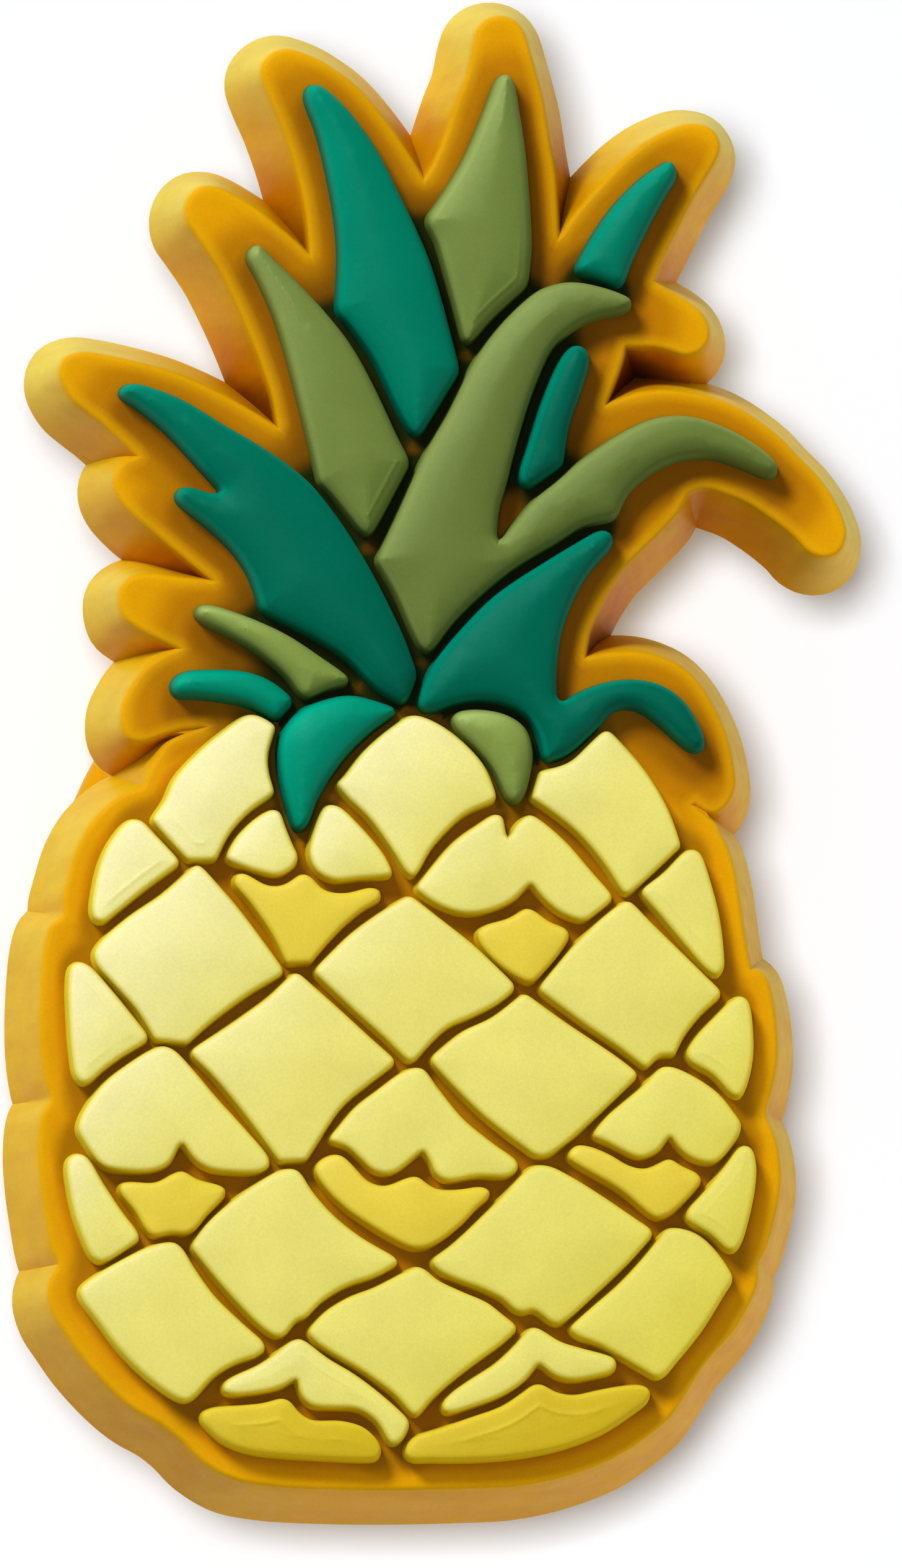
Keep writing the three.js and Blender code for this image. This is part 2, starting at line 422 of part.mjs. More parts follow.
// The deeper yellow pieces that fill in under the lobed scales.
const fillers = [
  [
    [-3.6, 0.13], [-3.55, 0.3], [-3.38, 0.34], [-2.86, 0.08], [-2.51, 0.1],
    [-2.15, 0.33], [-1.96, 0.27], [-1.69, 0], [-1.24, -0.07], [-0.68, 0.05],
    [-0.49, -0.03], [-0.49, -0.21], [-0.88, -0.46], [-1.35, -0.87], [-1.81, -1.39],
    [-1.95, -1.57, 0.1], [-2.48, -1.59, 0.1], [-2.78, -0.98], [-3.25, -0.3],
  ],
  [
    [2.57, -0.36], [2.73, -0.42], [3.06, -0.66], [3.35, -0.77], [3.47, -0.92],
    [3.3, -1.27], [2.95, -1.7], [2.68, -1.95], [2.5, -1.92], [1.98, -1.59],
    [1.56, -1.12], [1.5, -0.88], [1.66, -0.74], [2.21, -0.57],
  ],
  [
    [-5.98, -6.36], [-5.97, -6.2], [-5.8, -6.14], [-5.2, -6.15], [-4.88, -5.98],
    [-4.64, -5.9], [-4.36, -6.07], [-3.87, -6.2], [-3.72, -6.29], [-3.76, -6.46],
    [-4.12, -6.85], [-4.39, -7.18], [-4.6, -7.27], [-4.88, -7.24], [-5.2, -7.31],
    [-5.38, -7.23], [-5.64, -6.8],
  ],
  [
    [-1.44, -5.54], [-1.76, -5.66], [-1.9, -5.86], [-1.7, -6.24], [-1.25, -6.7],
    [-0.65, -7.11], [-0.13, -7.41], [0.16, -7.53], [0.42, -7.53], [0.72, -7.4],
    [1.25, -6.98], [1.5, -6.7], [1.77, -6.46], [1.81, -6.32], [1.65, -6.21],
    [1.12, -6.27], [0.65, -6.25], [0.43, -6.11], [0.26, -5.99], [0, -6.05],
    [-0.39, -6.2], [-0.75, -6.11], [-1.04, -5.81], [-1.26, -5.6],
  ],
  [
    [3.42, -5.5], [3.58, -5.34], [3.8, -5.33], [4.29, -5.51], [4.71, -5.75],
    [5.07, -5.81], [5.37, -5.68], [5.56, -5.6], [5.81, -5.75], [6.16, -5.92],
    [6.25, -6.06], [6.16, -6.21], [5.72, -6.68], [5.46, -6.85], [5.27, -6.88],
    [5.03, -6.72], [4.67, -6.41], [4.37, -6.2], [3.58, -5.75], [3.43, -5.63],
  ],
  [
    [-4.26, -11.13], [-4.26, -10.97], [-4.03, -10.86], [-3.38, -10.8],
    [-2.93, -10.75], [-2.54, -10.65], [-2.39, -10.71], [-2.21, -10.93],
    [-1.95, -11.1], [-1.3, -11.12], [-0.83, -11.26], [-0.52, -11.58],
    [-0.47, -11.77], [-0.55, -11.93], [-0.78, -11.96], [-1.69, -11.93],
    [-2.6, -11.88], [-3.32, -11.78], [-3.84, -11.56], [-4.16, -11.26],
  ],
  [
    [0, -11.79], [0.07, -11.57], [0.23, -11.43], [0.78, -11.25], [1.37, -11.04],
    [2.03, -10.8], [2.44, -10.53], [2.7, -10.35], [2.89, -10.34], [3.16, -10.49],
    [3.55, -10.56], [4.07, -10.45], [4.68, -10.35], [5.01, -10.35], [5.16, -10.48],
    [5.12, -10.67], [4.77, -10.96], [4.17, -11.35], [3.25, -11.7], [2.42, -11.87],
    [1.53, -11.95], [0.52, -11.96], [0.13, -11.95],
  ],
];

// Marks as points that run counter-clockwise.
function readMarks(marks) {
  const points = marks.map(([x, y, radius]) => ({ at: new THREE.Vector2(x, y), radius }));
  const clockwise = THREE.ShapeUtils.isClockWise(points.map((point) => point.at));
  return clockwise ? points.reverse() : points;
}

// The points moved towards the inside by a distance, or outwards by a negative one.
function moveInwards(points, distance) {
  const count = points.length;
  return points.map(({ at, radius }, index) => {
    const before = points[(index + count - 1) % count].at;
    const after = points[(index + 1) % count].at;
    const arriving = at.clone().sub(before).normalize();
    const leaving = after.clone().sub(at).normalize();
    const arrivingSide = new THREE.Vector2(-arriving.y, arriving.x);
    const leavingSide = new THREE.Vector2(-leaving.y, leaving.x);
    const middle = arrivingSide.clone().add(leavingSide).normalize();
    const reach = distance / Math.max(sharpestMitre, middle.dot(arrivingSide));
    const turnsLeft = arriving.cross(leaving) > 0;
    const grown = radius - (turnsLeft ? distance : -distance);
    return {
      at: at.clone().addScaledVector(middle, reach),
      radius: radius ? Math.max(smallestCorner, grown) : radius,
    };
  });
}

// The short curve that rounds a corner between its two neighbours.
function cornerCurve(corner, before, after) {
  if (corner.radius === 0) {
    return [corner.at];
  }
  const back = before.clone().sub(corner.at);
  const ahead = after.clone().sub(corner.at);
  const cosine = back.dot(ahead) / (back.length() * ahead.length());
  const halfAngle = Math.acos(THREE.MathUtils.clamp(cosine, -1, 1)) / 2;
  const wanted = corner.radius / Math.tan(halfAngle);
  const shorter = Math.min(back.length(), ahead.length());
  const cut = Math.min(wanted, shorter * cornerShare);
  const start = corner.at.clone().add(back.setLength(cut));
  const end = corner.at.clone().add(ahead.setLength(cut));
  return new THREE.QuadraticBezierCurve(start, corner.at, end).getPoints(cornerSteps);
}

// A smooth run through points, in the given number of steps for each stretch.
function smoothRun(points, steps, closed) {
  const curve = new THREE.CatmullRomCurve3(
    points.map((point) => new THREE.Vector3(point.x, point.y, 0)),
    closed,
    "centripetal",
  );
  const stretches = closed ? points.length : points.length - 1;
  const run = [];
  for (let stretch = 0; stretch < stretches; stretch += 1) {
    for (let step = 0; step < steps[stretch]; step += 1) {
      const point = curve.getPoint((stretch + step / steps[stretch]) / stretches);
      run.push(new THREE.Vector2(point.x, point.y));
    }
  }
  return run;
}

// How many steps each stretch of an outline gets, by its length.
function countSteps(points) {
  return points.map(({ at }, index) => {
    const next = points[(index + 1) % points.length].at;
    return Math.max(1, Math.round(at.distanceTo(next) / curveStep));
  });
}

// The whole outline: smooth runs between rounded corners.
function traceOutline(points, steps) {
  const count = points.length;
  const indices = points.map((point, index) => index);
  const corners = indices.filter((index) => points[index].radius !== undefined);
  if (corners.length === 0) {
    return smoothRun(points.map((point) => point.at), steps, true);
  }
  const outline = [];
  const curves = corners.map((index) => {
    const before = points[(index + count - 1) % count].at;
    const after = points[(index + 1) % count].at;
    return cornerCurve(points[index], before, after);
  });
  corners.forEach((index, turn) => {
    const nextTurn = (turn + 1) % corners.length;
    const span = (corners[nextTurn] - index + count) % count || count;
    const run = [curves[turn].at(-1)];
    const runSteps = [];
    for (let offset = 0; offset < span; offset += 1) {
      const current = (index + offset) % count;
      if (offset > 0) {
        run.push(points[current].at);
      }
      runSteps.push(span === 1 ? 1 : steps[current]);
    }
    run.push(curves[nextTurn][0]);
    outline.push(...curves[turn].slice(0, -1));
    outline.push(...smoothRun(run, runSteps, false));
  });
  return outline;
}

// A closed solid through rings of equal count, each { outline, z }, from low to high.
function stackRings(rings) {
  const count = rings[0].outline.length;
  const corners = [];
  for (const { outline, z } of rings) {
    for (const point of outline) {
      corners.push(point.x, point.y, z);
    }
  }
  const faces = [];
  for (let ring = 0; ring + 1 < rings.length; ring += 1) {
    for (let index = 0; index < count; index += 1) {
      const low = ring * count + index;
      const lowNext = ring * count + ((index + 1) % count);
      faces.push(low, lowNext, lowNext + count);
      faces.push(low, lowNext + count, low + count);
    }
  }
  const top = (rings.length - 1) * count;
  for (const [a, b, c] of THREE.ShapeUtils.triangulateShape(rings[0].outline, [])) {
    faces.push(c, b, a);
  }
  for (const [a, b, c] of THREE.ShapeUtils.triangulateShape(rings.at(-1).outline, [])) {
    faces.push(top + a, top + b, top + c);
  }
  return { corners: new Float32Array(corners), faces: new Uint32Array(faces) };
}

function toGeometry({ corners, faces }) {
  const geometry = new THREE.BufferGeometry();
  geometry.setAttribute("position", new THREE.BufferAttribute(corners, 3));
  geometry.setIndex(new THREE.BufferAttribute(faces, 1));
  geometry.computeVertexNormals();
  return geometry;
}

function makeMesh(name, geometry, tone) {
  const mesh = new THREE.Mesh(geometry, new THREE.MeshStandardMaterial(tone));
  mesh.name = name;
  return mesh;
}

// One lobe of the slab, wider at the back by the draft of its sides.
function slabLobe(marks) {
  const face = readMarks(marks);
  const steps = countSteps(face);
  const back = moveInwards(face, -slabDraft);
  const solid = stackRings([
    { outline: traceOutline(back, steps), z: slabBack },
    { outline: traceOutline(face, steps), z: slabFace },
  ]);
  return new wasm.Manifold(
    new wasm.Mesh({ numProp: 3, vertProperties: solid.corners, triVerts: solid.faces }),
  );
}

function slabGeometry() {
  const lobes = Object.values(slabLobes).map(slabLobe);
  const joined = lobes.reduce((whole, lobe) => whole.add(lobe)).getMesh();
  return toGeometry({ corners: joined.vertProperties, faces: joined.triVerts });
}

// A raised piece that stands on the slab's face, with a bevel round its top.
function raisedPiece(marks, height) {
  const foot = readMarks(marks);
  const steps = countSteps(foot);
  const wall = traceOutline(foot, steps);
  const crest = traceOutline(moveInwards(foot, bevelWidth), steps);
  return toGeometry(stackRings([
    { outline: wall, z: slabFace },
    { outline: wall, z: slabFace + height - bevelHeight },
    { outline: crest, z: slabFace + height },
  ]));
}

// The stud: a round cap with softened edges and a neck that flares into the slab.
function studGeometry() {
  const softened = capEdge * Math.SQRT1_2;
  const profile = [
    [0, 0],
    [capRadius - capEdge, 0],
    [capRadius - capEdge + softened, capEdge - softened],
    [capRadius, capEdge],
    [capRadius, capHeight - capEdge],
    [capRadius - capEdge + softened, capHeight - capEdge + softened],
    [capRadius - capEdge, capHeight],
    [neckRadius + neckFlare, capHeight],
    [neckRadius, capHeight + neckFlare],
    [neckRadius, slabBack - neckFlare],
    [neckRadius + neckFlare, slabBack],
    [0, slabBack],
  ].map(([radius, z]) => new THREE.Vector2(radius, z));
  const turned = new THREE.LatheGeometry(profile, studSides);
  turned.rotateX(Math.PI / 2);
  return turned;
}

const group = new THREE.Group();
group.add(makeMesh("slab", slabGeometry(), amber));
group.add(makeMesh("stud", studGeometry(), amber));
leaves.forEach(({ tone, marks }, index) => {
  const name = `leaf_${String(index + 1).padStart(2, "0")}`;
  group.add(makeMesh(name, raisedPiece(marks, leafHeight), tone));
});
scales.forEach((marks, index) => {
  const name = `scale_${String(index + 1).padStart(2, "0")}`;
  group.add(makeMesh(name, raisedPiece(marks, scaleHeight), paleYellow));
});
fillers.forEach((marks, index) => {
  group.add(makeMesh(`filler_${index + 1}`, raisedPiece(marks, scaleHeight), deepYellow));
});

export default group;
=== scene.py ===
import json
import math

import bpy
import numpy as np
from mathutils import Matrix, Vector
from mathutils.geometry import delaunay_2d_cdt


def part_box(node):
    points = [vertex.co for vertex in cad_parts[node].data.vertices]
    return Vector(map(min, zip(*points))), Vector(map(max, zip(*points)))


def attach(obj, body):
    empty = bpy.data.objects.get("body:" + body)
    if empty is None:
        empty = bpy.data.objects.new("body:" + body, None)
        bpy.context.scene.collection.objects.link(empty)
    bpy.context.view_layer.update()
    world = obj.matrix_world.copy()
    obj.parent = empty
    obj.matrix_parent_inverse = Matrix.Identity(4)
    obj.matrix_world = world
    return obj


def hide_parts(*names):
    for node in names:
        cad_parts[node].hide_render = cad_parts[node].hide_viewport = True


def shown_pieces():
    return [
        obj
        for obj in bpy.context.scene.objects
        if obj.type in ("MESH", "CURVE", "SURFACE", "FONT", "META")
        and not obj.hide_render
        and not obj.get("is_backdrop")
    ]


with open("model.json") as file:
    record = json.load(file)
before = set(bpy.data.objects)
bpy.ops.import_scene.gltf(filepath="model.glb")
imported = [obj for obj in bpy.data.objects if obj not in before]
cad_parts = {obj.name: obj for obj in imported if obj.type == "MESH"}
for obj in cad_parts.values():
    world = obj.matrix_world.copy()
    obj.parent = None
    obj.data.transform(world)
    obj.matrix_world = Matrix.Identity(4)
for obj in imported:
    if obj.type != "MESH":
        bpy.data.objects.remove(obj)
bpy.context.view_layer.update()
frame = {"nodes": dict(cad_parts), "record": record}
mm = 0.001
slotOf = {part["node"]: part["material_slot"] for part in frame["record"]["subparts"]}
slabLow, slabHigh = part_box("slab")
backLevel = slabLow.z / mm
faceLevel = slabHigh.z / mm
print("frame loaded, slab from", round(backLevel, 2), "to", round(faceLevel, 2), "mm")


# Outlines, all in millimetres and counter-clockwise seen from the front.

nearlyZero = 1e-12
# Spots and depths that differ by less than this are taken as one.
sameSpot = 0.012
# How many points are set against an outline at a time.
batch = 1500
levelSlack = 0.001


# The outline of a node's flat faces at one height.
def flatOutline(node, level):
    mesh = frame["nodes"][node].data
    sides = set()
    for face in mesh.polygons:
        corners = [mesh.vertices[index].co for index in face.vertices]
        if any(abs(corner.z / mm - level) > levelSlack for corner in corners):
            continue
        keys = [(round(corner.x / mm, 4), round(corner.y / mm, 4)) for corner in corners]
        for place, key in enumerate(keys):
            sides.add((key, keys[(place + 1) % len(keys)]))
    following = {start: end for start, end in sides if (end, start) not in sides}
    loops = []
    while following:
        start = next(iter(following))
        loop = [start]
        spot = following.pop(start)
        while spot != start and spot in following:
            loop.append(spot)
            spot = following.pop(spot)
        loops.append(loop)
    outline = np.array(max(loops, key=len))
    return outline if signedArea(outline) > 0 else outline[::-1]


def signedArea(loop):
    ahead = np.roll(loop, -1, axis=0)
    return 0.5 * float(np.sum(loop[:, 0] * ahead[:, 1] - ahead[:, 0] * loop[:, 1]))


# One stretch of a centripetal spline, from its second point up to its third.
def splineStretch(before, start, end, after, steps):
    shortest = 1e-4
    marks = [0.0]
    for first, second in ((before, start), (start, end), (end, after)):
        marks.append(marks[-1] + max(shortest, float(np.linalg.norm(second - first))) ** 0.5)
    reached = (marks[1] + (marks[2] - marks[1]) * np.arange(steps) / steps)[:, None]

    def between(first, second, low, high):
        return (high - reached) / (high - low) * first + (reached - low) / (high - low) * second

    arriving = between(before, start, marks[0], marks[1])
    along = between(start, end, marks[1], marks[2])
    leaving = between(end, after, marks[2], marks[3])
    early = between(arriving, along, marks[0], marks[2])
    late = between(along, leaving, marks[1], marks[3])
    return between(early, late, marks[1], marks[2])


# How far an outline turns at each of its points, in radians and below 0 in notches.
def turnsOf(loop):
    arriving = loop - np.roll(loop, 1, axis=0)
    leaving = np.roll(arriving, -1, axis=0)
    cross = arriving[:, 0] * leaving[:, 1] - arriving[:, 1] * leaving[:, 0]
    return np.arctan2(cross, np.sum(arriving * leaving, axis=1))


# A finer and smoother outline that keeps the notches deeper than the given turn.
def smoothOutline(loop, spacing, notchTurn=None):
    arriving = loop - np.roll(loop, 1, axis=0)
    loop = loop[np.linalg.norm(arriving, axis=1) > sameSpot]
    sharp = turnsOf(loop) < -notchTurn if notchTurn else np.zeros(len(loop), bool)
    count = len(loop)
    fine = []
    for index in range(count):
        start, end = loop[index], loop[(index + 1) % count]
        before = 2 * start - end if sharp[index] else loop[index - 1]
        after = 2 * end - start if sharp[(index + 1) % count] else loop[(index + 2) % count]
        steps = max(1, math.ceil(np.linalg.norm(end - start) / spacing))
        fine.append(splineStretch(before, start, end, after, steps))
    return np.vstack(fine)


# An outline with its corners eased, as a mould's cutter leaves them.
def easedOutline(loop, times):
    for _ in range(times):
        loop = 0.25 * np.roll(loop, 1, axis=0) + 0.5 * loop + 0.25 * np.roll(loop, -1, axis=0)
    return loop


# The outline moved outwards, or inwards by a negative distance, point by point. A corner
# moves no further than the distance over the least reach.
def movedOutline(loop, distance):
    leastReach = 0.4
    edges = np.roll(loop, -1, axis=0) - loop
    edges = edges / np.maximum(nearlyZero, np.linalg.norm(edges, axis=1))[:, None]
    sides = np.stack([edges[:, 1], -edges[:, 0]], axis=1)
    middle = sides + np.roll(sides, 1, axis=0)
    middle = middle / np.maximum(nearlyZero, np.linalg.norm(middle, axis=1))[:, None]
    reach = np.maximum(leastReach, np.sum(middle * sides, axis=1))
    return loop + middle * (distance / reach)[:, None]


# The steps from points to the nearest places on an outline.
def stepsTo(loop, points):
    along = np.roll(loop, -1, axis=0) - loop
    length = np.maximum(nearlyZero, np.sum(along * along, axis=1))
    found = np.empty((len(points), 2))
    for first in range(0, len(points), batch):
        part = points[first:first + batch, None, :] - loop[None, :, :]
        share = np.clip(np.sum(part * along, axis=2) / length, 0, 1)
        gap = part - share[:, :, None] * along
        nearest = np.argmin(np.sum(gap * gap, axis=2), axis=1)
        found[first:first + batch] = -gap[np.arange(len(gap)), nearest]
    return found


# The true distance of points from an outline.
def distanceTo(loop, points):
    return np.linalg.norm(stepsTo(loop, points), axis=1)


def awayFromZero(values):
    return np.where(np.abs(values) < nearlyZero, nearlyZero, values)


# Whether each point lies inside, by counting the sides to its right.
def isInside(loop, points):
    start, end = loop, np.roll(loop, -1, axis=0)
    rise = awayFromZero(end[:, 1] - start[:, 1])
    inside = np.empty(len(points), bool)
    for first in range(0, len(points), batch):
        part = points[first:first + batch]
        above = part[:, None, 1] < start[None, :, 1]
        crosses = above != (part[:, None, 1] < end[None, :, 1])
        reach = start[:, 0] + (part[:, None, 1] - start[:, 1]) / rise * (end - start)[:, 0]
        passed = np.sum(crosses & (part[:, None, 0] < reach), axis=1)
        inside[first:first + batch] = passed % 2 == 1
    return inside


# Where the sides of a closed ring cross each other: both sides, and how far along each.
def selfCrossings(ring):
    step = np.roll(ring, -1, axis=0) - ring
    turned = np.stack([step[:, 1], -step[:, 0]], axis=1)
    spread = awayFromZero(-step @ turned.T)
    toRing = ring @ turned.T
    own = np.sum(ring * turned, axis=1)
    along = (toRing - own[None, :]) / spread
    crosses = (along > 0) & (along < 1) & (along.T > 0) & (along.T < 1)
    count = len(ring)
    firsts, seconds = np.nonzero(np.triu(crosses, 2))
    return [(i, j, along[i, j], along[j, i]) for i, j in zip(firsts, seconds)
            if (i, j) != (0, count - 1)]


# The loops of a moved outline, longest first, without what folds over at notches and
# tips. Each comes with the numbers of its points that lie where the moved outline
# crossed itself.
def movedRings(loop, distance):
    slack = 0.002
    fewest = 5
    ring = movedOutline(loop, distance)
    kept = distanceTo(loop, ring) > abs(distance) - slack
    if kept.all():
        return [(ring, [])]
    jumps = {}
    for first, second, share, otherShare in selfCrossings(ring):
        spot = ring[first] + share * (ring[(first + 1) % len(ring)] - ring[first])
        if distanceTo(loop, spot[None, :])[0] > abs(distance) - sameSpot:
            jumps.setdefault(first, []).append((share, second, otherShare, tuple(spot)))
            jumps.setdefault(second, []).append((otherShare, first, share, tuple(spot)))
    rings = []
    waiting = kept.copy()
    while waiting.any():
        found, crossings, passed = followRing(ring, kept, jumps, longestRun(waiting))
        waiting[passed] = False
        if len(found) > fewest:
            rings.append((found, crossings))
    return sorted(rings, key=lambda entry: -len(entry[0]))


# One loop of a ring from a starting point on, taking each crossing it comes to.
def followRing(ring, kept, jumps, start):
    side, reached = start, 0.0
    points, crossings, passed = [ring[start]], [], [start]
    while len(points) < 2 * len(ring):
        ahead = sorted(jump for jump in jumps.get(side, []) if jump[0] > reached)
        if ahead:
            _, side, reached, spot = ahead[0]
            crossings.append(len(points))
            points.append(np.array(spot))
            continue
        side, reached = (side + 1) % len(ring), 0.0
        if side == start:
            break
        if kept[side]:
            points.append(ring[side])
            passed.append(side)
    return np.array(points), crossings, passed


# The middle of the longest unbroken run of true values round a ring.
def longestRun(flags):
    count = len(flags)
    first = int(np.argmin(flags))
    best, bestEnd, length = 0, 0, 0
    for index in range(first, first + count + 1):
        length = length + 1 if flags[index % count] else 0
        if length > best:
            best, bestEnd = length, index
    return (bestEnd - best // 2) % count


# A grid of points in staggered rows over an outline's box, a little uneven.
def staggeredGrid(loop, spacing, seed):
    rowShare = 0.866
    uneven = 0.12
    spread = np.random.default_rng(seed)
    low, high = loop.min(0), loop.max(0)
    rows = np.arange(low[1], high[1], spacing * rowShare)
    columns = np.arange(low[0], high[0], spacing)
    x, y = np.meshgrid(columns, rows)
    x = x + spacing / 2 * (np.arange(len(rows)) % 2)[:, None]
    points = np.stack([x.ravel(), y.ravel()], axis=1)
    return points + spread.uniform(-uneven, uneven, points.shape) * spacing


# Triangles over an area, from its rim, the lines that they must follow, each with
# whether it is closed, and loose points. Gives the points, the faces and the numbers that
# the rim's points have among them.
def triangulate(rim, lines, loose):
    insideOnly = 1
    weldWithin = 1e-6
    points = [rim] + [line for line, _ in lines] + ([loose] if len(loose) else [])
    edges = []
    offset = len(rim)
    for line, closed in lines:
        last = len(line) if closed else len(line) - 1
        edges += [(offset + i, offset + (i + 1) % len(line)) for i in range(last)]
        offset += len(line)
    everything = [Vector(point) for point in np.vstack(points)]
    area = [list(range(len(rim)))]
    corners, _, faces, sources, *_ = delaunay_2d_cdt(everything, edges, area, insideOnly, weldWithin)
    places = np.array([tuple(corner) for corner in corners])
    rimOrder = {}
    for index, origins in enumerate(sources):
        for origin in origins:
            if origin < len(rim):
                rimOrder[origin] = index
    rimIndices = [rimOrder[index] for index in range(len(rim))]
    return places, [tuple(face) for face in faces], rimIndices


# An object from points in millimetres, with a value of each attribute at every point.
def makeMesh(name, vertices, faces, attributes):
    sharpAngle = math.radians(42)
    mesh = bpy.data.meshes.new(name)
    mesh.from_pydata([tuple(vertex) for vertex in np.asarray(vertices) * mm], [], faces)
    mesh.validate()
    for label, values in attributes.items():
        layer = mesh.attributes.new(label, "FLOAT", "POINT")
        layer.data.foreach_set("value", np.asarray(values, np.float32))
    mesh.polygons.foreach_set("use_smooth", [True] * len(mesh.polygons))
    mesh.set_sharp_from_angle(angle=sharpAngle)
    piece = bpy.data.objects.new(name, mesh)
    bpy.context.scene.collection.objects.link(piece)
    return piece


# Gives a piece its material and hands it over in place of its node.
def settle(piece, node, material):
    piece.data.materials.append(material)
    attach(piece, "root")
    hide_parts(node)


# Materials.

# Most values of a noise texture lie between these two.
noiseRange = (0.3, 0.7)


def addNode(tree, kind, **values):
    node = tree.nodes.new(kind)
    for key, value in values.items():
        setattr(node, key, value)
    return node


def setInputs(node, **values):
    for key, value in values.items():
        node.inputs[key.replace("_", " ")].default_value = value


# A colour's hex code as linear light, by the usual sRGB formula.
def toLinear(code):
    parts = [int(code[i:i + 2], 16) / 255 for i in (1, 3, 5)]
    return [p / 12.92 if p <= 0.04045 else ((p + 0.055) / 1.055) ** 2.4 for p in parts] + [1.0]


def noise(tree, place, scale, detail=2.0, roughness=0.5):
    node = addNode(tree, "ShaderNodeTexNoise")
    setInputs(node, Scale=scale, Detail=detail, Roughness=roughness)
    tree.links.new(place, node.inputs["Vector"])
    return node.outputs["Fac"]


def ramp(tree, value, stops):
    node = addNode(tree, "ShaderNodeValToRGB")
    node.color_ramp.interpolation = "EASE"
    marks = node.color_ramp.elements
    while len(marks) < len(stops):
        marks.new(0.5)
    for mark, (position, color) in zip(marks, stops):
        mark.position = position
        mark.color = toLinear(color)
    tree.links.new(value, node.inputs["Fac"])
    return node.outputs["Color"]


def remap(tree, value, low, high, newLow=0.0, newHigh=1.0):
    node = addNode(tree, "ShaderNodeMapRange")
    setInputs(node, From_Min=low, From_Max=high, To_Min=newLow, To_Max=newHigh)
    tree.links.new(value, node.inputs["Value"])
    return node.outputs["Result"]


def mixColor(tree, factor, first, second, blend="MIX"):
    node = addNode(tree, "ShaderNodeMix", data_type="RGBA", blend_type=blend)
    for value, name in ((factor, "Factor"), (first, "A"), (second, "B")):
        socket = next(s for s in node.inputs if s.name == name and s.enabled)
        if isinstance(value, (int, float)):
            socket.default_value = value
        elif isinstance(value, str):
            socket.default_value = toLinear(value)
        else:
            tree.links.new(value, socket)
    return next(s for s in node.outputs if s.enabled)


def attribute(tree, name):
    return addNode(tree, "ShaderNodeAttribute", attribute_name=name).outputs["Fac"]


# How far the surface faces a direction, from -1 to 1.
def facing(tree, direction):
    turned = addNode(tree, "ShaderNodeVectorMath", operation="DOT_PRODUCT")
    tree.links.new(addNode(tree, "ShaderNodeNewGeometry").outputs["Normal"], turned.inputs[0])
    turned.inputs[1].default_value = direction
    return turned.outputs["Value"]


# A colour made lighter or darker by a value.
def scaled(tree, color, amount):
    node = addNode(tree, "ShaderNodeVectorMath", operation="SCALE")
    tree.links.new(color, node.inputs[0])
    tree.links.new(amount, node.inputs["Scale"])
    return node.outputs["Vector"]


# Bumps from a height, over those of an earlier normal where there is one.
def bumps(tree, height, strength, depth, earlier=None):
    node = addNode(tree, "ShaderNodeBump")
    setInputs(node, Strength=strength, Distance=depth)
    tree.links.new(height, node.inputs["Height"])
    if earlier is not None:
        tree.links.new(earlier, node.inputs["Normal"])
    return node.outputs["Normal"]


# Soft moulded vinyl: a body that lets a little light through, with a fine grain.
def softVinyl(name, look, paint):
    material = bpy.data.materials.new(name)
    material.use_nodes = True
    tree = material.node_tree
    tree.nodes.clear()
    output = addNode(tree, "ShaderNodeOutputMaterial")
    shader = addNode(tree, "ShaderNodeBsdfPrincipled")
    tree.links.new(shader.outputs["BSDF"], output.inputs["Surface"])
    place = addNode(tree, "ShaderNodeTexCoord").outputs["Object"]
    color = paint(tree, place)
    for tint in ("mottle", "speckle"):
        amount = look[tint]
        shade = noise(tree, place, look[tint + "Scale"], look["tintDetail"])
        color = scaled(tree, color, remap(tree, shade, *noiseRange, 1 - amount, 1 + amount))
    tree.links.new(color, shader.inputs["Base Color"])
    rough = remap(tree, noise(tree, place, look["roughScale"]), *noiseRange,
                  look["roughness"] - look["roughSpread"], look["roughness"] + look["roughSpread"])
    tree.links.new(rough, shader.inputs["Roughness"])
    grain = noise(tree, place, look["grainScale"], look["grainDetail"], look["grainRoughness"])
    fine = bumps(tree, grain, look["grain"], look["grainDepth"] * mm)
    waves = noise(tree, place, look["waveScale"], look["waveDetail"])
    broad = bumps(tree, waves, look["wave"], look["waveDepth"] * mm, fine)
    tree.links.new(broad, shader.inputs["Normal"])
    shader.inputs["Subsurface Weight"].default_value = look["glow"]
    shader.inputs["Subsurface Radius"].default_value = look["glowRadius"]
    shader.inputs["Subsurface Scale"].default_value = look["glowDepth"] * mm
    shader.inputs["Specular IOR Level"].default_value = look["shine"]
    shader.inputs["IOR"].default_value = look["refraction"]
    return material


vinyl = {
    "mottle": 0.035, "mottleScale": 900.0, "speckle": 0.035, "speckleScale": 18000.0,
    "tintDetail": 3.0,
    "roughness": 0.46, "roughSpread": 0.05, "roughScale": 2070.0,
    "grain": 0.35, "grainScale": 9000.0, "grainDetail": 3.0, "grainRoughness": 0.6,
    "grainDepth": 0.02,
    "wave": 0.25, "waveScale": 450.0, "waveDetail": 1.0, "waveDepth": 0.1,
    "glow": 0.2, "glowRadius": (1.0, 0.6, 0.2), "glowDepth": 0.25,
    "shine": 0.03, "refraction": 1.5,
}
# The way in which the light fades across the front.
downLight = (0.7, -0.7, 0.0)


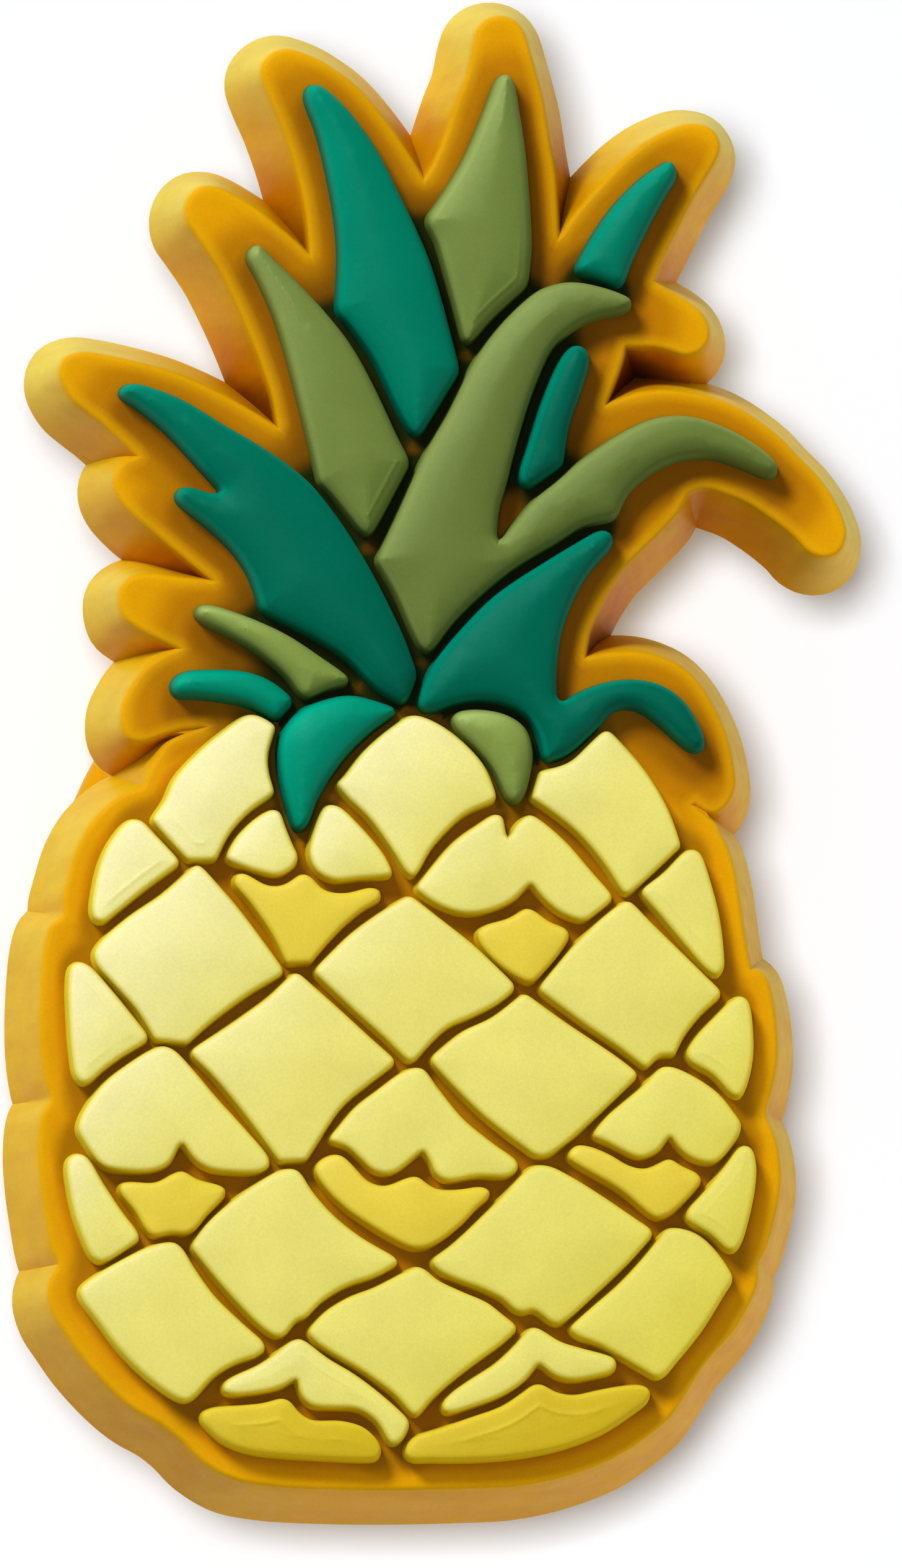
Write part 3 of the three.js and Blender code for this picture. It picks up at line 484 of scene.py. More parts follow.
# A raised piece's colour, with painted light and shade: its tone runs from lit at the upper
# left to low at the lower right, with a painted shade along the rim and a painted tone down
# the side for the shade there and, in the yellows, for light glowing through the vinyl.
def raisedPaint(look):
    def paint(tree, place):
        # Painted light and shade: lighter towards the upper left and on slopes facing it, lower
        # towards the lower right.
        turned = facing(tree, downLight)
        slope = addNode(tree, "ShaderNodeMath", operation="MULTIPLY_ADD")
        tree.links.new(turned, slope.inputs[0])
        slope.inputs[1].default_value = look["slopeShade"]
        tree.links.new(attribute(tree, "shadeAcross"), slope.inputs[2])
        shadeAcross = remap(tree, slope.outputs["Value"], -1.0, 1.0)
        tone = ramp(tree, shadeAcross, [(0.0, look["lit"]), (0.5, look["tone"]), (1.0, look["low"])])
        tone = scaled(tree, tone, attribute(tree, "brightness"))
        # A painted shade along the rim, deepest where it faces away from the light.
        away = remap(tree, turned, *rimTurn)
        rimTone = mixColor(tree, away, look["rimLit"], look["rim"])
        rim = remap(tree, attribute(tree, "edge"), 0.0, look["rimWidth"], 1.0, 0.0)
        topped = mixColor(tree, rim, tone, rimTone)
        # Down the side a painted tone for the shade there and, in the yellows, for light glowing
        # through the vinyl.
        down = remap(tree, attribute(tree, "edge"), 0.0, -1.0)
        return mixColor(tree, down, topped, look["foot"])
    return paint


# Each vinyl's tones: lit, tone and low are painted light and shade across a piece, rimLit and rim a
# painted shade along the rim, and foot a painted tone down the side.
raisedLooks = {
    "dark_green": {
        "lit": "#009478", "tone": "#00785e", "low": "#00624c", "slopeShade": 1.0,
        "rimLit": "#008a70", "rim": "#006a54", "rimWidth": 0.12, "foot": "#006a52"},
    "olive": {
        "lit": "#90a45c", "tone": "#6e803c", "low": "#586a2c", "slopeShade": 1.3,
        "rimLit": "#82944a", "rim": "#5e7030", "rimWidth": 0.12, "foot": "#5a6a28"},
    "pale_yellow": {
        "lit": "#f0eab0", "tone": "#e0d872", "low": "#dace50", "slopeShade": 0.6,
        "rimLit": "#dccc38", "rim": "#d8be00", "rimWidth": 0.1, "foot": "#ecd018"},
    "deep_yellow": {
        "lit": "#eede74", "tone": "#dec844", "low": "#ccb020", "slopeShade": 0.6,
        "rimLit": "#dcc424", "rim": "#d4ac00", "rimWidth": 0.1, "foot": "#e4bc08"},
}
# How far a rim faces away from the light where it starts to deepen, and where it is deepest.
rimTurn = (-0.2, 0.5)


# The slab's face, with painted shade and light: darker by the feet of raised pieces, in a
# painted shadow below the leaves, darkest in the narrow gaps, most so between leaves, and
# with a painted highlight along its own rim.
def faceColor(tree, look):
    # Painted shade by the feet of the raised pieces.
    near = ramp(tree, remap(tree, attribute(tree, "near"), 0.0, look["nearReach"]),
                [(0.0, look["foot"]), (look["closeAt"], look["close"]), (1.0, look["face"])])
    # A painted shadow below the leaves.
    shade = ramp(tree, remap(tree, attribute(tree, "shade"), 0.0, look["shadeReach"]),
                 [(0.0, look["deepShade"]), (look["shadeAt"], look["shade"]), (1.0, look["face"])])
    near = mixColor(tree, 1.0, near, shade, "DARKEN")
    # Painted shade in the narrow gaps between pieces, near black between leaves.
    gapWidth = attribute(tree, "gapWidth")
    leafGap = ramp(tree, gapWidth, [(look["leafGapAt"], look["leafGap"]),
                                    (look["wideLeafGapAt"], look["wideLeafGap"])])
    gapTone = mixColor(tree, attribute(tree, "leafShare"), look["scaleGap"], leafGap)
    narrow = remap(tree, gapWidth, look["openGap"], look["tightGap"])
    narrow.node.interpolation_type = "SMOOTHSTEP"
    near = mixColor(tree, narrow, near, gapTone)
    # A painted highlight along the face's own rim.
    rim = remap(tree, attribute(tree, "edge"), *look["rimReach"], 0.0, look["rimShare"])
    return mixColor(tree, rim, near, look["rim"])


# The slab's sides, with painted light and shade: lighter round the tips than down in the
# notches, where painted shade gathers, less so where they face up, streaked, and in a
# painted shade, deeper and yellower, where they face down.
def wallColor(tree, place, look):
    turned = facing(tree, look["lowWay"])
    # Painted shade down in the notches, less where the side faces up, and painted light round the
    # tips.
    fold = addNode(tree, "ShaderNodeMath", operation="MULTIPLY")
    tree.links.new(remap(tree, attribute(tree, "fold"), *look["foldReach"]), fold.inputs[0])
    tree.links.new(remap(tree, turned, *look["openTurn"], look["openFold"], 1.0), fold.inputs[1])
    wall = ramp(tree, fold.outputs["Value"],
                [(0.0, look["tipWall"]), (look["wallAt"], look["wall"]),
                 (look["foldWallAt"], look["foldWall"]), (1.0, look["deepWall"])])
    stretched = addNode(tree, "ShaderNodeMapping")
    setInputs(stretched, Rotation=look["streakTurn"], Scale=look["streakStretch"])
    tree.links.new(place, stretched.inputs["Vector"])
    streak = noise(tree, stretched.outputs["Vector"], look["streakScale"])
    streak = remap(tree, streak, *look["streakReach"])
    wall = mixColor(tree, streak, wall, look["streak"], "MULTIPLY")
    # Painted shade where the side faces down, deeper and yellower.
    lowSide = mixColor(tree, 1.0, wall, look["lowSide"], "MULTIPLY")
    return mixColor(tree, remap(tree, turned, *look["lowTurn"]), wall, lowSide)


def slabPaint(look):
    def paint(tree, place):
        side = remap(tree, attribute(tree, "edge"), 0.0, look["sideStart"])
        return mixColor(tree, side, faceColor(tree, look), wallColor(tree, place, look))
    return paint


# The slab's tones. On the face, foot, close, deepShade, shade and the gap tones are painted shade
# and rim a painted highlight; on the sides, tipWall is painted light round the tips, foldWall and
# deepWall painted shade in the notches, and lowSide a painted shade where they face down.
slabLook = {
    "foot": "#ba7800", "close": "#d69600", "closeAt": 0.3, "face": "#d89800", "nearReach": 0.9,
    "deepShade": "#905800", "shade": "#b87800", "shadeAt": 0.4, "shadeReach": 1.3,
    "scaleGap": "#a06c00", "openGap": 1.1, "tightGap": 0.4,
    "leafGap": "#1a2200", "leafGapAt": 0.2, "wideLeafGap": "#7a4c00", "wideLeafGapAt": 0.5,
    "rim": "#dca404", "rimReach": (-0.28, -0.02), "rimShare": 0.7, "sideStart": 0.08,
    "tipWall": "#dcc448", "wall": "#dcb00c", "wallAt": 0.4,
    "foldWall": "#c88800", "foldWallAt": 0.7, "deepWall": "#6c3400",
    "foldReach": (-0.25, 0.35), "openTurn": (-0.8, 0.1), "openFold": 0.75,
    "lowWay": (0.1, -0.995, 0.0), "lowSide": "#ffe2a0", "lowTurn": (-0.3, 0.6),
    "streak": "#f8efe0", "streakScale": 1500.0, "streakReach": (0.35, 0.7),
    "streakTurn": (0.0, 0.0, -0.35), "streakStretch": (0.12, 1.6, 0.3),
}
materials = {tone: softVinyl(f"{tone} vinyl", vinyl, raisedPaint(look))
             for tone, look in raisedLooks.items()}
materials["amber"] = softVinyl("amber vinyl", vinyl, slabPaint(slabLook))


# Raised leaves, scales and fillers.

leafShape = {"grow": 0.04, "ease": 3, "edgeRadius": 0.16, "dome": 0.32, "domeReach": 0.45,
             "draft": 0.055, "spacing": 0.09, "grid": 0.18, "sink": 0.06}
scaleShape = {"grow": 0.035, "ease": 2, "edgeRadius": 0.12, "dome": 0.1, "domeReach": 0.7,
              "draft": 0.05, "spacing": 0.09, "grid": 0.2, "sink": 0.06}
# What leaves, scales and fillers share: where their rings of points run, as angles round
# the soft edge and then in edge radii, how true a ring has to stay, how much of the dome
# lies below the node's top, and how much the painted shade runs across one piece.
raisedShape = {"edgeAngles": (18, 36, 54, 72, 90), "innerRings": (1.6, 2.4, 3.3),
               "ringTruth": 0.96, "domeBelow": 0.6, "toneShare": 0.35}
# Where across the front the scales' painted shade gives the middle tone, and how far on it gives the
# low one.
scaleFade = {"middle": 3.0, "reach": 11.0}

# The faint lines that the mould leaves inside some pieces: how far in they run, which way
# the side they follow faces in degrees, how wide a stretch of it, and how far they stand up.
ridges = {
    "leaf_02": {"inset": 0.27, "facing": -45, "spread": 50, "rise": 0.018},
    "leaf_04": {"inset": 0.27, "facing": -35, "spread": 45, "rise": 0.018},
    "scale_01": {"inset": 0.36, "facing": 250, "spread": 50, "rise": 0.014},
    "scale_04": {"inset": 0.3, "facing": -45, "spread": 70, "rise": 0.016},
    "scale_08": {"inset": 0.3, "facing": 200, "spread": 60, "rise": 0.014},
    "scale_12": {"inset": 0.3, "facing": 20, "spread": 80, "rise": 0.02},
    "scale_13": {"inset": 0.3, "facing": 240, "spread": 60, "rise": 0.014},
    "scale_19": {"inset": 0.32, "facing": 20, "spread": 70, "rise": 0.02},
    "scale_20": {"inset": 0.3, "facing": 200, "spread": 70, "rise": 0.014},
    "scale_26": {"inset": 0.3, "facing": 60, "spread": 60, "rise": 0.016},
    "filler_6": {"inset": 0.42, "facing": 85, "spread": 60, "rise": 0.024},
    "filler_7": {"inset": 0.42, "facing": 100, "spread": 60, "rise": 0.024},
}
# A ridge's width in mm, the degrees over which its ends fade, the rounds in which they
# spread over the mesh, how far other rings of points stay off it, and its own rings.
ridgeShape = {"width": 0.045, "endFade": 20, "rounds": 6, "clear": 0.1,
              "rings": (-2, -1, -0.5, 0, 0.5, 1, 2)}

# Leaves made lighter or darker than the rest, by these factors.
leafBrightness = {"leaf_05": 0.72, "leaf_06": 0.84, "leaf_07": 0.62, "leaf_08": 1.3, "leaf_09": 1.3,
         "leaf_10": 0.68, "leaf_11": 1.3, "leaf_12": 1.35}
# How much further some pieces lie towards the low, shaded end of their painted tones.
deeper = {"filler_6": 0.7, "filler_7": 0.7, "scale_26": -0.4, "scale_27": -0.4}


# How high a piece's ridge stands at each point; its ends fade out over the mesh.
def ridgeHeights(ridge, steps, depth, faces):
    bearing = np.degrees(np.arctan2(steps[:, 1], steps[:, 0])) - ridge["facing"]
    off = np.abs((bearing + 180) % 360 - 180)
    along = np.clip((ridge["spread"] - off) / ridgeShape["endFade"], 0, 1)
    corners = np.array(faces)
    touching = np.bincount(corners.ravel(), minlength=len(along))
    for _ in range(ridgeShape["rounds"]):
        total = np.bincount(corners.ravel(), np.repeat(along[corners].mean(1), 3), len(along))
        along = total / np.maximum(1, touching)
    return ridge["rise"] * along * np.exp(-((depth - ridge["inset"]) / ridgeShape["width"]) ** 2)


# The points inside a piece's rim: rings along it, and a grid further in.
def innerPoints(rim, shape, ridge, seed):
    radius = shape["edgeRadius"]
    rings = [radius * (1 - math.cos(math.radians(angle))) for angle in raisedShape["edgeAngles"]]
    rings += [radius * step for step in raisedShape["innerRings"]]
    if ridge:
        rings = [depth for depth in rings if abs(depth - ridge["inset"]) > ridgeShape["clear"]]
        rings += [ridge["inset"] + step * ridgeShape["width"] for step in ridgeShape["rings"]]
    loose = []
    for depth in rings:
        ring = movedOutline(rim, -depth)
        real = (distanceTo(rim, ring) > depth * raisedShape["ringTruth"]) & isInside(rim, ring)
        loose.append(ring[real])
    grid = staggeredGrid(rim, shape["grid"], seed)
    grid = grid[isInside(rim, grid)]
    loose.append(grid[distanceTo(rim, grid) > max(rings) + shape["grid"] / 2])
    return np.vstack(loose)


# A leaf, scale or filler: a foot, a side that leans in, a soft edge and a domed top.
def raisedPiece(node, shape, seed):
    low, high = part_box(node)
    foot = smoothOutline(flatOutline(node, low.z / mm), shape["spacing"])
    foot = movedRings(easedOutline(foot, shape["ease"]), shape["grow"])[0][0]
    rim = movedOutline(foot, -shape["draft"])
    radius = shape["edgeRadius"]
    ridge = ridges.get(node)
    places, faces, rimIndices = triangulate(rim, [], innerPoints(rim, shape, ridge, seed))
    steps = stepsTo(rim, places)
    depth = np.linalg.norm(steps, axis=1)
    depth[rimIndices] = 0.0
    within = np.minimum(depth, radius)
    curve = np.sqrt(np.maximum(0.0, radius ** 2 - (radius - within) ** 2)) - radius
    swell = shape["dome"] * (1 - np.exp(-depth / shape["domeReach"]))
    top = high.z / mm + curve + swell - shape["dome"] * raisedShape["domeBelow"]
    if ridge:
        top += ridgeHeights(ridge, steps, depth, faces)
    count = len(places)
    footPlaces, footFaces, footIndices = triangulate(foot, [], [])
    footLevel = np.full(len(footPlaces), low.z / mm - shape["sink"])
    vertices = np.vstack([np.column_stack([places, top]), np.column_stack([footPlaces, footLevel])])
    faces += [tuple(count + index for index in reversed(face)) for face in footFaces]
    total = len(rimIndices)
    for index in range(total):
        ahead = (index + 1) % total
        faces.append((count + footIndices[index], count + footIndices[ahead],
                      rimIndices[ahead], rimIndices[index]))
    middle = foot.mean(0)
    size = (foot.max(0) - foot.min(0)).max() / 2
    everywhere = np.vstack([places, footPlaces])
    # Painted shade: the tone runs from lit to low along the way the light fades, across each piece
    # and, for the scales, across the whole front.
    onFace = np.array(downLight[:2])
    shadeAcross = raisedShape["toneShare"] * ((everywhere - middle) @ onFace) / size
    if slotOf[node] == "pale_yellow":
        shadeAcross += (middle @ onFace - scaleFade["middle"]) / scaleFade["reach"]
    shadeAcross += deeper.get(node, 0.0)
    edge = np.concatenate([depth, np.full(len(footPlaces), -1.0)])
    brightness = np.full(len(everywhere), leafBrightness.get(node, 1.0))
    attributes = {"edge": edge, "shadeAcross": shadeAcross, "brightness": brightness}
    piece = makeMesh(f"soft_{node}", vertices, faces, attributes)
    settle(piece, node, materials[slotOf[node]])
    return foot


feet = {}
raised = sorted(node for node in frame["nodes"] if node not in ("slab", "stud"))
for number, node in enumerate(raised):
    shape = leafShape if node.startswith("leaf") else scaleShape
    feet[node] = raisedPiece(node, shape, number)
print("raised pieces made:", len(feet))


# The slab, whose sides lean out towards the back.

slabShape = {"edgeRadius": 0.12, "edgeSteps": 6, "sideSteps": (0.2, 0.4, 0.6, 0.8),
             "footChamfer": 0.06, "spacing": 0.1, "notchTurn": 0.8, "valleyReach": 0.9,
             "grid": 0.2, "gridSeed": 99, "footRing": 0.1, "rimClear": 0.22, "rounds": 3,
             "onRim": 1e-5, "backEdge": 0.5,
             "gapReach": 1.2, "foldBlur": 1.1, "foldCell": 0.08, "shadeShift": (0.1, -0.38)}
# What the slab's attributes are where no raised piece is near: behind it and on the stud.
farAway = 3.0
openPlace = {"near": farAway, "shade": farAway, "gapWidth": farAway, "leafShare": 0.0, "fold": 0.0}


# How far out and how far below the face the slab's soft edge, side and foot run.
def slabProfile(draft, shape):
    lean = math.atan2(faceLevel - backLevel, draft)
    radius = shape["edgeRadius"]
    reach = radius * math.tan(lean / 2)
    turns = np.linspace(0, lean, shape["edgeSteps"])
    out = list(radius * np.sin(turns) - reach)
    drop = list(radius * (1 - np.cos(turns)))
    steep = math.tan(lean)
    for share in shape["sideSteps"]:
        out.append(draft * share)
        drop.append(draft * share * steep)
    chamfer = shape["footChamfer"]
    out += [draft - chamfer, draft]
    drop += [(draft - chamfer) * steep, faceLevel - backLevel - chamfer]
    return np.array(out), np.array(drop)


# The numbers of a fine outline's points that are the inner ends of notches.
def notchSpots(loop, notchTurn):
    return [int(index) for index in np.flatnonzero(turnsOf(loop) < -notchTurn)]


# How far points are from the nearest raised piece, how wide the gap is that they lie in,
# and the share of leaves among the two pieces beside it.
def gapsRound(outlines, points, reach):
    gaps = np.full((len(outlines), len(points)), reach)
    for row, outline in zip(gaps, outlines.values()):
        low, high = outline.min(0) - reach, outline.max(0) + reach
        close = np.flatnonzero(np.all((points > low) & (points < high), axis=1))
        away = distanceTo(outline, points[close])
        row[close] = np.minimum(reach, np.where(isInside(outline, points[close]), -away, away))
    nearest = np.argsort(gaps, axis=0)[:2]
    two = np.take_along_axis(gaps, nearest, axis=0)
    leaves = np.array([float(node.startswith("leaf")) for node in outlines])
    return np.maximum(two[0], 0), two.sum(0), leaves[nearest].mean(0)


# How much more of an outline's inside lies round points than it would beside a straight
# edge: above 0 in notches and below 0 round tips. The outline is laid out as a blurred map.
def foldRound(outline, points, away, blur, cell):
    blurReach = 3 * blur
    low, high = points.min(0) - blurReach, points.max(0) + blurReach
    columns, rows = (np.arange(low[axis], high[axis], cell) for axis in (0, 1))
    x, y = np.meshgrid(columns, rows)
    filled = isInside(outline, np.stack([x.ravel(), y.ravel()], axis=1))
    filled = filled.reshape(x.shape).astype(float)
    span = np.arange(-blurReach, blurReach + cell, cell)
    weights = np.exp(-0.5 * (span / blur) ** 2)
    for axis in (0, 1):
        filled = np.apply_along_axis(np.convolve, axis, filled, weights / weights.sum(), "same")
    spots = ((points - low) / cell).astype(int)
    straight = np.array([0.5 * math.erfc(gap / (blur * math.sqrt(2))) for gap in away])
    return filled[spots[:, 1], spots[:, 0]] - straight


# Places where two of the slab's sloping sides meet: the middles of triangle edges that
# run level across a valley between them.
def valleyPoints(rim, places, faces):
    levelWithin = 0.01
    offRim = 0.02
    corners = np.array(faces)
    away = distanceTo(rim, places)
    spread = np.ptp(away[corners], axis=1)
    outside = ~isInside(rim, places[corners].mean(1))
    level = corners[(spread < levelWithin) & (away[corners].min(1) > offRim) & outside]
    starts, ends = level.ravel(), np.roll(level, -1, axis=1).ravel()
    halfway = (places[starts] + places[ends]) / 2
    valley = distanceTo(rim, halfway) > away[starts] + sameSpot
    return np.unique(np.round(halfway[valley], 5), axis=0)


# The lines that the slab's triangles follow: its rim, the rings of its side and soft edge,
# and the valleys down the notches, from each ring's notches to the nearest of the next.
def slabLines(rim, lowestNotches, out, shape):
    lines = [(rim, True)]
    valleys = [lowestNotches]
    for distance in out[:-1][::-1]:
        if abs(distance) < sameSpot:
            continue
        found = movedRings(rim, distance)
        lines += [(ring, True) for ring, _ in found]
        if distance > 0:
            corners = [ring[sorted({*crossings, *notchSpots(ring, shape["notchTurn"])})]
                       for ring, crossings in found]
            valleys.append(np.vstack(corners))
    valleys.append(rim[notchSpots(rim, shape["notchTurn"])])
    print("notches at each depth:", [len(spots) for spots in valleys])
    for outerSpots, innerSpots in zip(valleys, valleys[1:]):
        for spots, others in ((outerSpots, innerSpots), (innerSpots, outerSpots)):
            for spot in spots:
                gaps = np.linalg.norm(others - spot, axis=1)
                if gaps.min() < shape["valleyReach"]:
                    lines.append((np.array([spot, others[gaps.argmin()]]), False))
    return lines


# Loose points on the slab's face: a grid, and a ring round each raised piece's foot.
def facePoints(rim, shape):
    loose = [staggeredGrid(rim, shape["grid"], shape["gridSeed"])]
    loose += [movedOutline(foot, shape["footRing"]) for foot in feet.values()]
    loose = np.vstack(loose)
    loose = loose[isInside(rim, loose)]
    return loose[distanceTo(rim, loose) > shape["rimClear"]]


# What the slab's paint needs to know of points on its front.
def slabAttributes(rim, places, edge, shape):
    near, gapWidth, leafShare = gapsRound(feet, places, shape["gapReach"])
    # The leaves' outlines moved down and a little to the right, for their painted shadow.
    shadows = {node: foot + shape["shadeShift"] for node, foot in feet.items()
               if node.startswith("leaf")}
    shade = gapsRound(shadows, places, slabLook["shadeReach"])[0]
    fold = foldRound(rim, places, edge, shape["foldBlur"], shape["foldCell"])
    return {"near": near, "shade": shade, "gapWidth": gapWidth, "leafShare": leafShare,
            "fold": fold, "edge": edge}


# The slab is one layout of triangles used twice, for its front with the sides and, turned
# over, for its flat back.
def makeSlab(shape):
    rim = smoothOutline(flatOutline("slab", faceLevel), shape["spacing"], shape["notchTurn"])
    draft = float(np.median(distanceTo(rim, flatOutline("slab", backLevel))))
    out, drop = slabProfile(draft, shape)
    outer, outerCrossings = movedRings(rim, draft)[0]
    lines = slabLines(rim, outer[outerCrossings], out, shape)
    loose = facePoints(rim, shape)
    for _ in range(shape["rounds"]):
        places, faces, rimIndices = triangulate(outer, lines, loose)
        loose = np.vstack([loose, valleyPoints(rim, places, faces)])
    away = distanceTo(rim, places)
    edge = np.where(isInside(rim, places), -away, away)
    edge[np.abs(edge) < shape["onRim"]] = 0.0
    top = faceLevel - np.interp(edge, out, drop)
    top[rimIndices] = backLevel + shape["footChamfer"]
    chamferTop = backLevel + np.clip(edge - (draft - shape["footChamfer"]), 0, None)
    count = len(places)
    onRim = np.zeros(count, bool)
    onRim[rimIndices] = True
    below = np.full(count, -1)
    below[onRim] = np.flatnonzero(onRim)
    below[~onRim] = count + np.arange(int((~onRim).sum()))
    under = np.column_stack([places[~onRim], chamferTop[~onRim]])
    allFaces = faces + [tuple(int(below[index]) for index in reversed(face)) for face in faces]
    vertices = np.vstack([np.column_stack([places, top]), under])
    behind = {**openPlace, "edge": shape["backEdge"]}
    attributes = {label: np.concatenate([values, np.full(len(under), behind[label])])
                  for label, values in slabAttributes(rim, places, edge, shape).items()}
    piece = makeMesh("soft_slab", vertices, allFaces, attributes)
    settle(piece, "slab", materials["amber"])
    print("slab made with", len(allFaces), "faces, draft", round(draft, 3))


makeSlab(slabShape)


# The stud behind: a cap with soft edges, and a neck that widens into it and the slab.

studShape = {"sides": 96, "arcPoints": 7, "capEdge": 0.55, "neckFlare": 0.6, "sink": 0.05}


# Points along an arc, as distances from the stud's axis and heights, its angles in degrees.
def arc(reach, level, radius, first, last):
    turns = [math.radians(angle) for angle in np.linspace(first, last, studShape["arcPoints"])]
    return [(reach + radius * math.cos(turn), level + radius * math.sin(turn)) for turn in turns]


# The neck's radius and the height of the cap's top, from the stud's node.
def studSizes(capRadius):
    aboveCap, belowSlab = 2.0, 0.3
    insideCap, aboveFloor = 0.8, 1.0
    mesh = frame["nodes"]["stud"].data
    reach = np.array([vertex.co.xy.length / mm for vertex in mesh.vertices])
    level = np.array([vertex.co.z / mm for vertex in mesh.vertices])
    onNeck = (level > aboveCap) & (level < backLevel - belowSlab)
    onTop = (reach < capRadius - insideCap) & (level > aboveFloor)
    return reach[onNeck].min(), level[onTop].min()


def makeStud(shape):
    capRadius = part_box("stud")[1].x / mm
    neckRadius, capTop = studSizes(capRadius)
    radius, flare = shape["capEdge"], shape["neckFlare"]
    inSlab = backLevel + shape["sink"]
    profile = [(0.0, 0.0), (capRadius / 2, 0.0)]
    profile += arc(capRadius - radius, radius, radius, -90, 0)
    profile += arc(capRadius - radius, capTop - radius, radius, 0, 90)
    profile += arc(neckRadius + flare, capTop + flare, flare, -90, -180)
    profile += arc(neckRadius + flare, backLevel - flare, flare, 180, 90)
    profile += [(neckRadius + flare, inSlab), (0.0, inSlab)]
    sides = shape["sides"]
    vertices = [(0.0, 0.0, profile[0][1])]
    for reach, level in profile[1:-1]:
        for side in range(sides):
            turn = 2 * math.pi * side / sides
            vertices.append((reach * math.cos(turn), reach * math.sin(turn), level))
    vertices.append((0.0, 0.0, profile[-1][1]))
    rows = len(profile) - 2
    faces = []
    for side in range(sides):
        ahead = (side + 1) % sides
        faces.append((0, 1 + ahead, 1 + side))
        for row in range(rows - 1):
            start = 1 + row * sides
            faces.append((start + side, start + ahead, start + sides + ahead, start + sides + side))
        start = 1 + (rows - 1) * sides
        faces.append((start + side, start + ahead, len(vertices) - 1))
    everywhere = {**openPlace, "edge": -1.0}
    attributes = {label: np.full(len(vertices), value) for label, value in everywhere.items()}
    piece = makeMesh("soft_stud", vertices, faces, attributes)
    settle(piece, "stud", materials["amber"])


makeStud(studShape)
print("stud made")


# Floor, light and camera.

# The floor is a square of white paper, from its middle to its sides in metres, with two
# close tones and a faint glow of its own.
floorLook = {"half": 1.2, "tones": ("#f1f5fb", "#f4f8fe"), "toneScale": 40.0, "roughness": 0.9,
             "glow": 0.05}


def makeFloor(look):
    half = look["half"]
    corners = [(-half, -half, 0), (half, -half, 0), (half, half, 0), (-half, half, 0)]
    mesh = bpy.data.meshes.new("floor")
    mesh.from_pydata(corners, [], [(0, 1, 2, 3)])
    floor = bpy.data.objects.new("floor", mesh)
    bpy.context.scene.collection.objects.link(floor)
    material = bpy.data.materials.new("floor paper")
    material.use_nodes = True
    tree = material.node_tree
    shader = tree.nodes["Principled BSDF"]
    place = addNode(tree, "ShaderNodeTexCoord").outputs["Object"]
    shade = remap(tree, noise(tree, place, look["toneScale"]), *noiseRange)
    tree.links.new(mixColor(tree, shade, *look["tones"]), shader.inputs["Base Color"])
    shader.inputs["Roughness"].default_value = look["roughness"]
    shader.inputs["Specular IOR Level"].default_value = 0.0
    shader.inputs["Emission Color"].default_value = (1, 1, 1, 1)
    shader.inputs["Emission Strength"].default_value = look["glow"]
    mesh.materials.append(material)
    floor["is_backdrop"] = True
    return floor


# The lamps, in metres and watts. The window and the fill light only the charm, and the
# paper's lamp only the floor.
lampLooks = {
    "overhead": {"place": (-0.18, -0.04, 1.4), "size": 0.26, "power": 3.0, "lights": "all"},
    "window": {"place": (-0.15, 0.21, 0.28), "size": 0.09, "power": 1.2, "lights": "charm"},
    "fill": {"place": (0.26, -0.12, 0.14), "size": 0.2, "power": 0.28, "lights": "charm"},
    "paper": {"place": (-0.18, -0.04, 1.4), "size": 0.22, "power": 13.2, "lights": "floor"},
}
lampTarget = (0.0, 0.002, 0.006)
roomGlow = 0.22


def addLamp(name, look, target):
    light = bpy.data.lights.new(name, "AREA")
    light.shape = "SQUARE"
    light.size = look["size"]
    light.energy = look["power"]
    lamp = bpy.data.objects.new(name, light)
    lamp.location = look["place"]
    away = Vector(target) - Vector(look["place"])
    lamp.rotation_euler = away.to_track_quat("-Z", "Y").to_euler()
    bpy.context.scene.collection.objects.link(lamp)
    return lamp


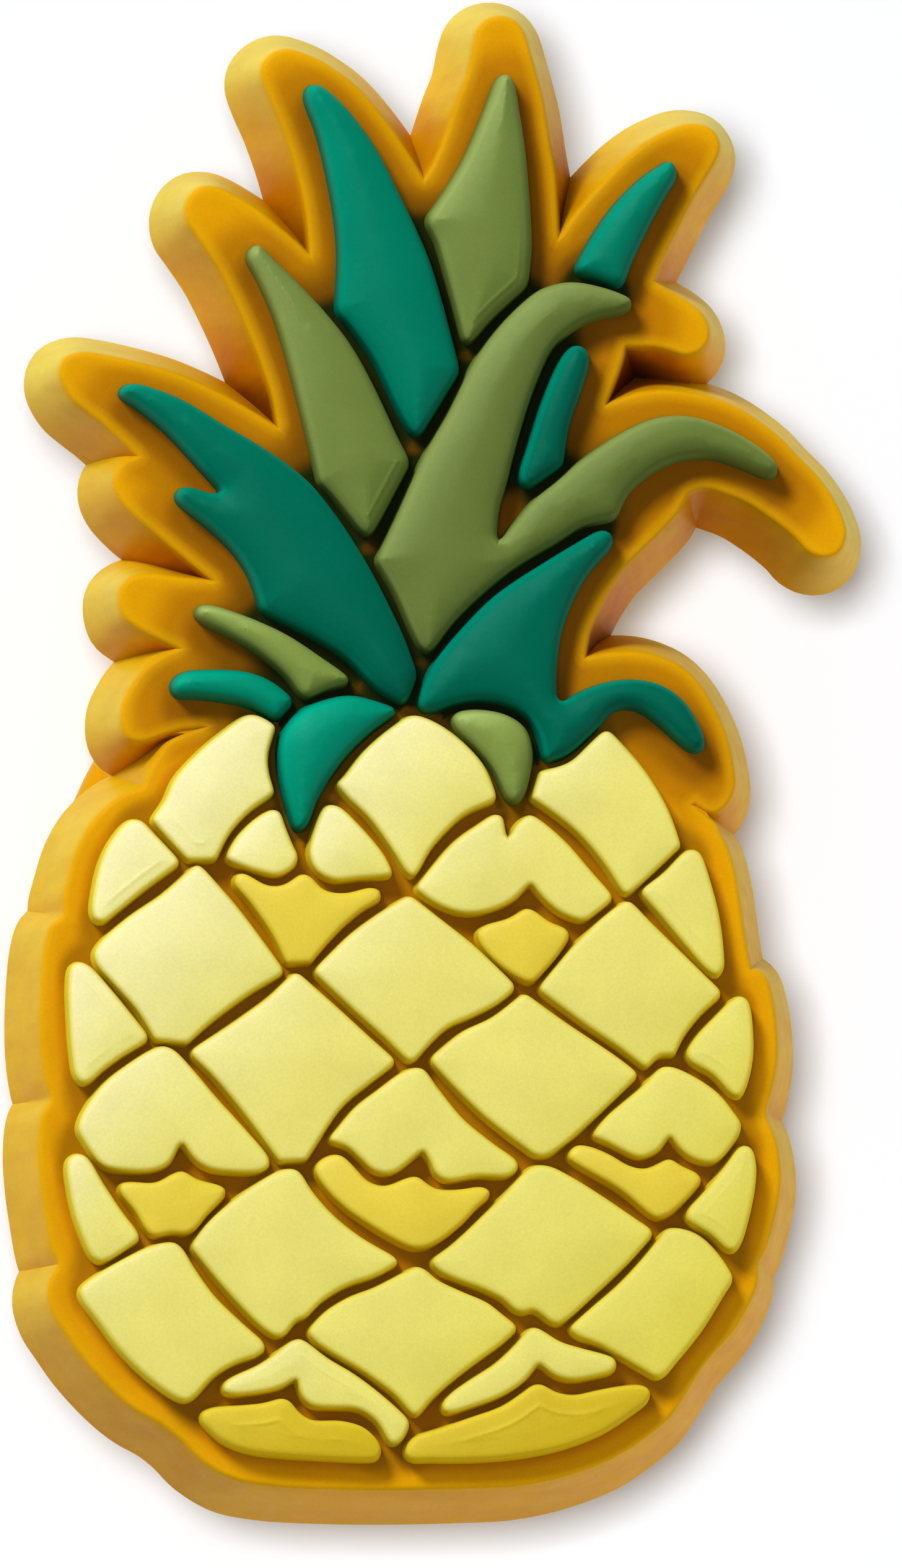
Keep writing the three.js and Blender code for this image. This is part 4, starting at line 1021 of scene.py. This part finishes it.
def lightOnly(lamp, things):
    lit = bpy.data.collections.new(f"lit by the {lamp.name}")
    for thing in things:
        lit.objects.link(thing)
    lamp.light_linking.receiver_collection = lit


def makeRoom(glow):
    world = bpy.data.worlds.new("room")
    bpy.context.scene.world = world
    world.use_nodes = True
    background = world.node_tree.nodes["Background"]
    background.inputs["Color"].default_value = (1, 1, 1, 1)
    background.inputs["Strength"].default_value = glow


floor = makeFloor(floorLook)
receivers = {"charm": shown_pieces(), "floor": [floor]}
for name, look in lampLooks.items():
    lamp = addLamp(name, look, lampTarget)
    if look["lights"] in receivers:
        lightOnly(lamp, receivers[look["lights"]])
makeRoom(roomGlow)
print("floor and lamps made:", len(lampLooks))

# The photo's size and the stud's axis in its own pixels, and the mm that a pixel shows.
photo = {"width": 1456, "height": 2532, "axis": (650, 1440), "pixel": 0.013}
# The camera's distance in mm, how far it leans out of the straight front view, its sensor in
# mm, and the nearest that it sees, in metres.
cameraLook = {"distance": 700.0, "tilt": (-0.0763, -0.0758), "sensor": 36.0, "nearest": 0.01}


# The camera looks at the middle of the photo's frame on the face, along the photo's angle.
# The tilt shortens the face a little, on average by the share worked out here.
def makeCamera(look):
    pixel, distance = photo["pixel"], look["distance"]
    aim = Vector(((photo["width"] / 2 - photo["axis"][0]) * pixel,
                  (photo["axis"][1] - photo["height"] / 2) * pixel, faceLevel))
    towards = Vector((*look["tilt"], 1)).normalized()
    foreshortening = 1 - (look["tilt"][0] ** 2 + look["tilt"][1] ** 2) / 4
    camera = bpy.data.cameras.new("camera")
    camera.sensor_width = look["sensor"]
    camera.lens = look["sensor"] * distance / (photo["height"] * pixel * foreshortening)
    camera.clip_start = look["nearest"]
    viewer = bpy.data.objects.new("camera", camera)
    viewer.location = (aim + towards * distance) * mm
    rightwards = Vector((0, 1, 0)).cross(towards).normalized()
    axes = Matrix((rightwards, towards.cross(rightwards), towards)).transposed()
    viewer.rotation_euler = axes.to_euler()
    bpy.context.scene.collection.objects.link(viewer)
    return viewer


bpy.context.scene.camera = makeCamera(cameraLook)
bpy.context.scene.view_settings.view_transform = "Standard"
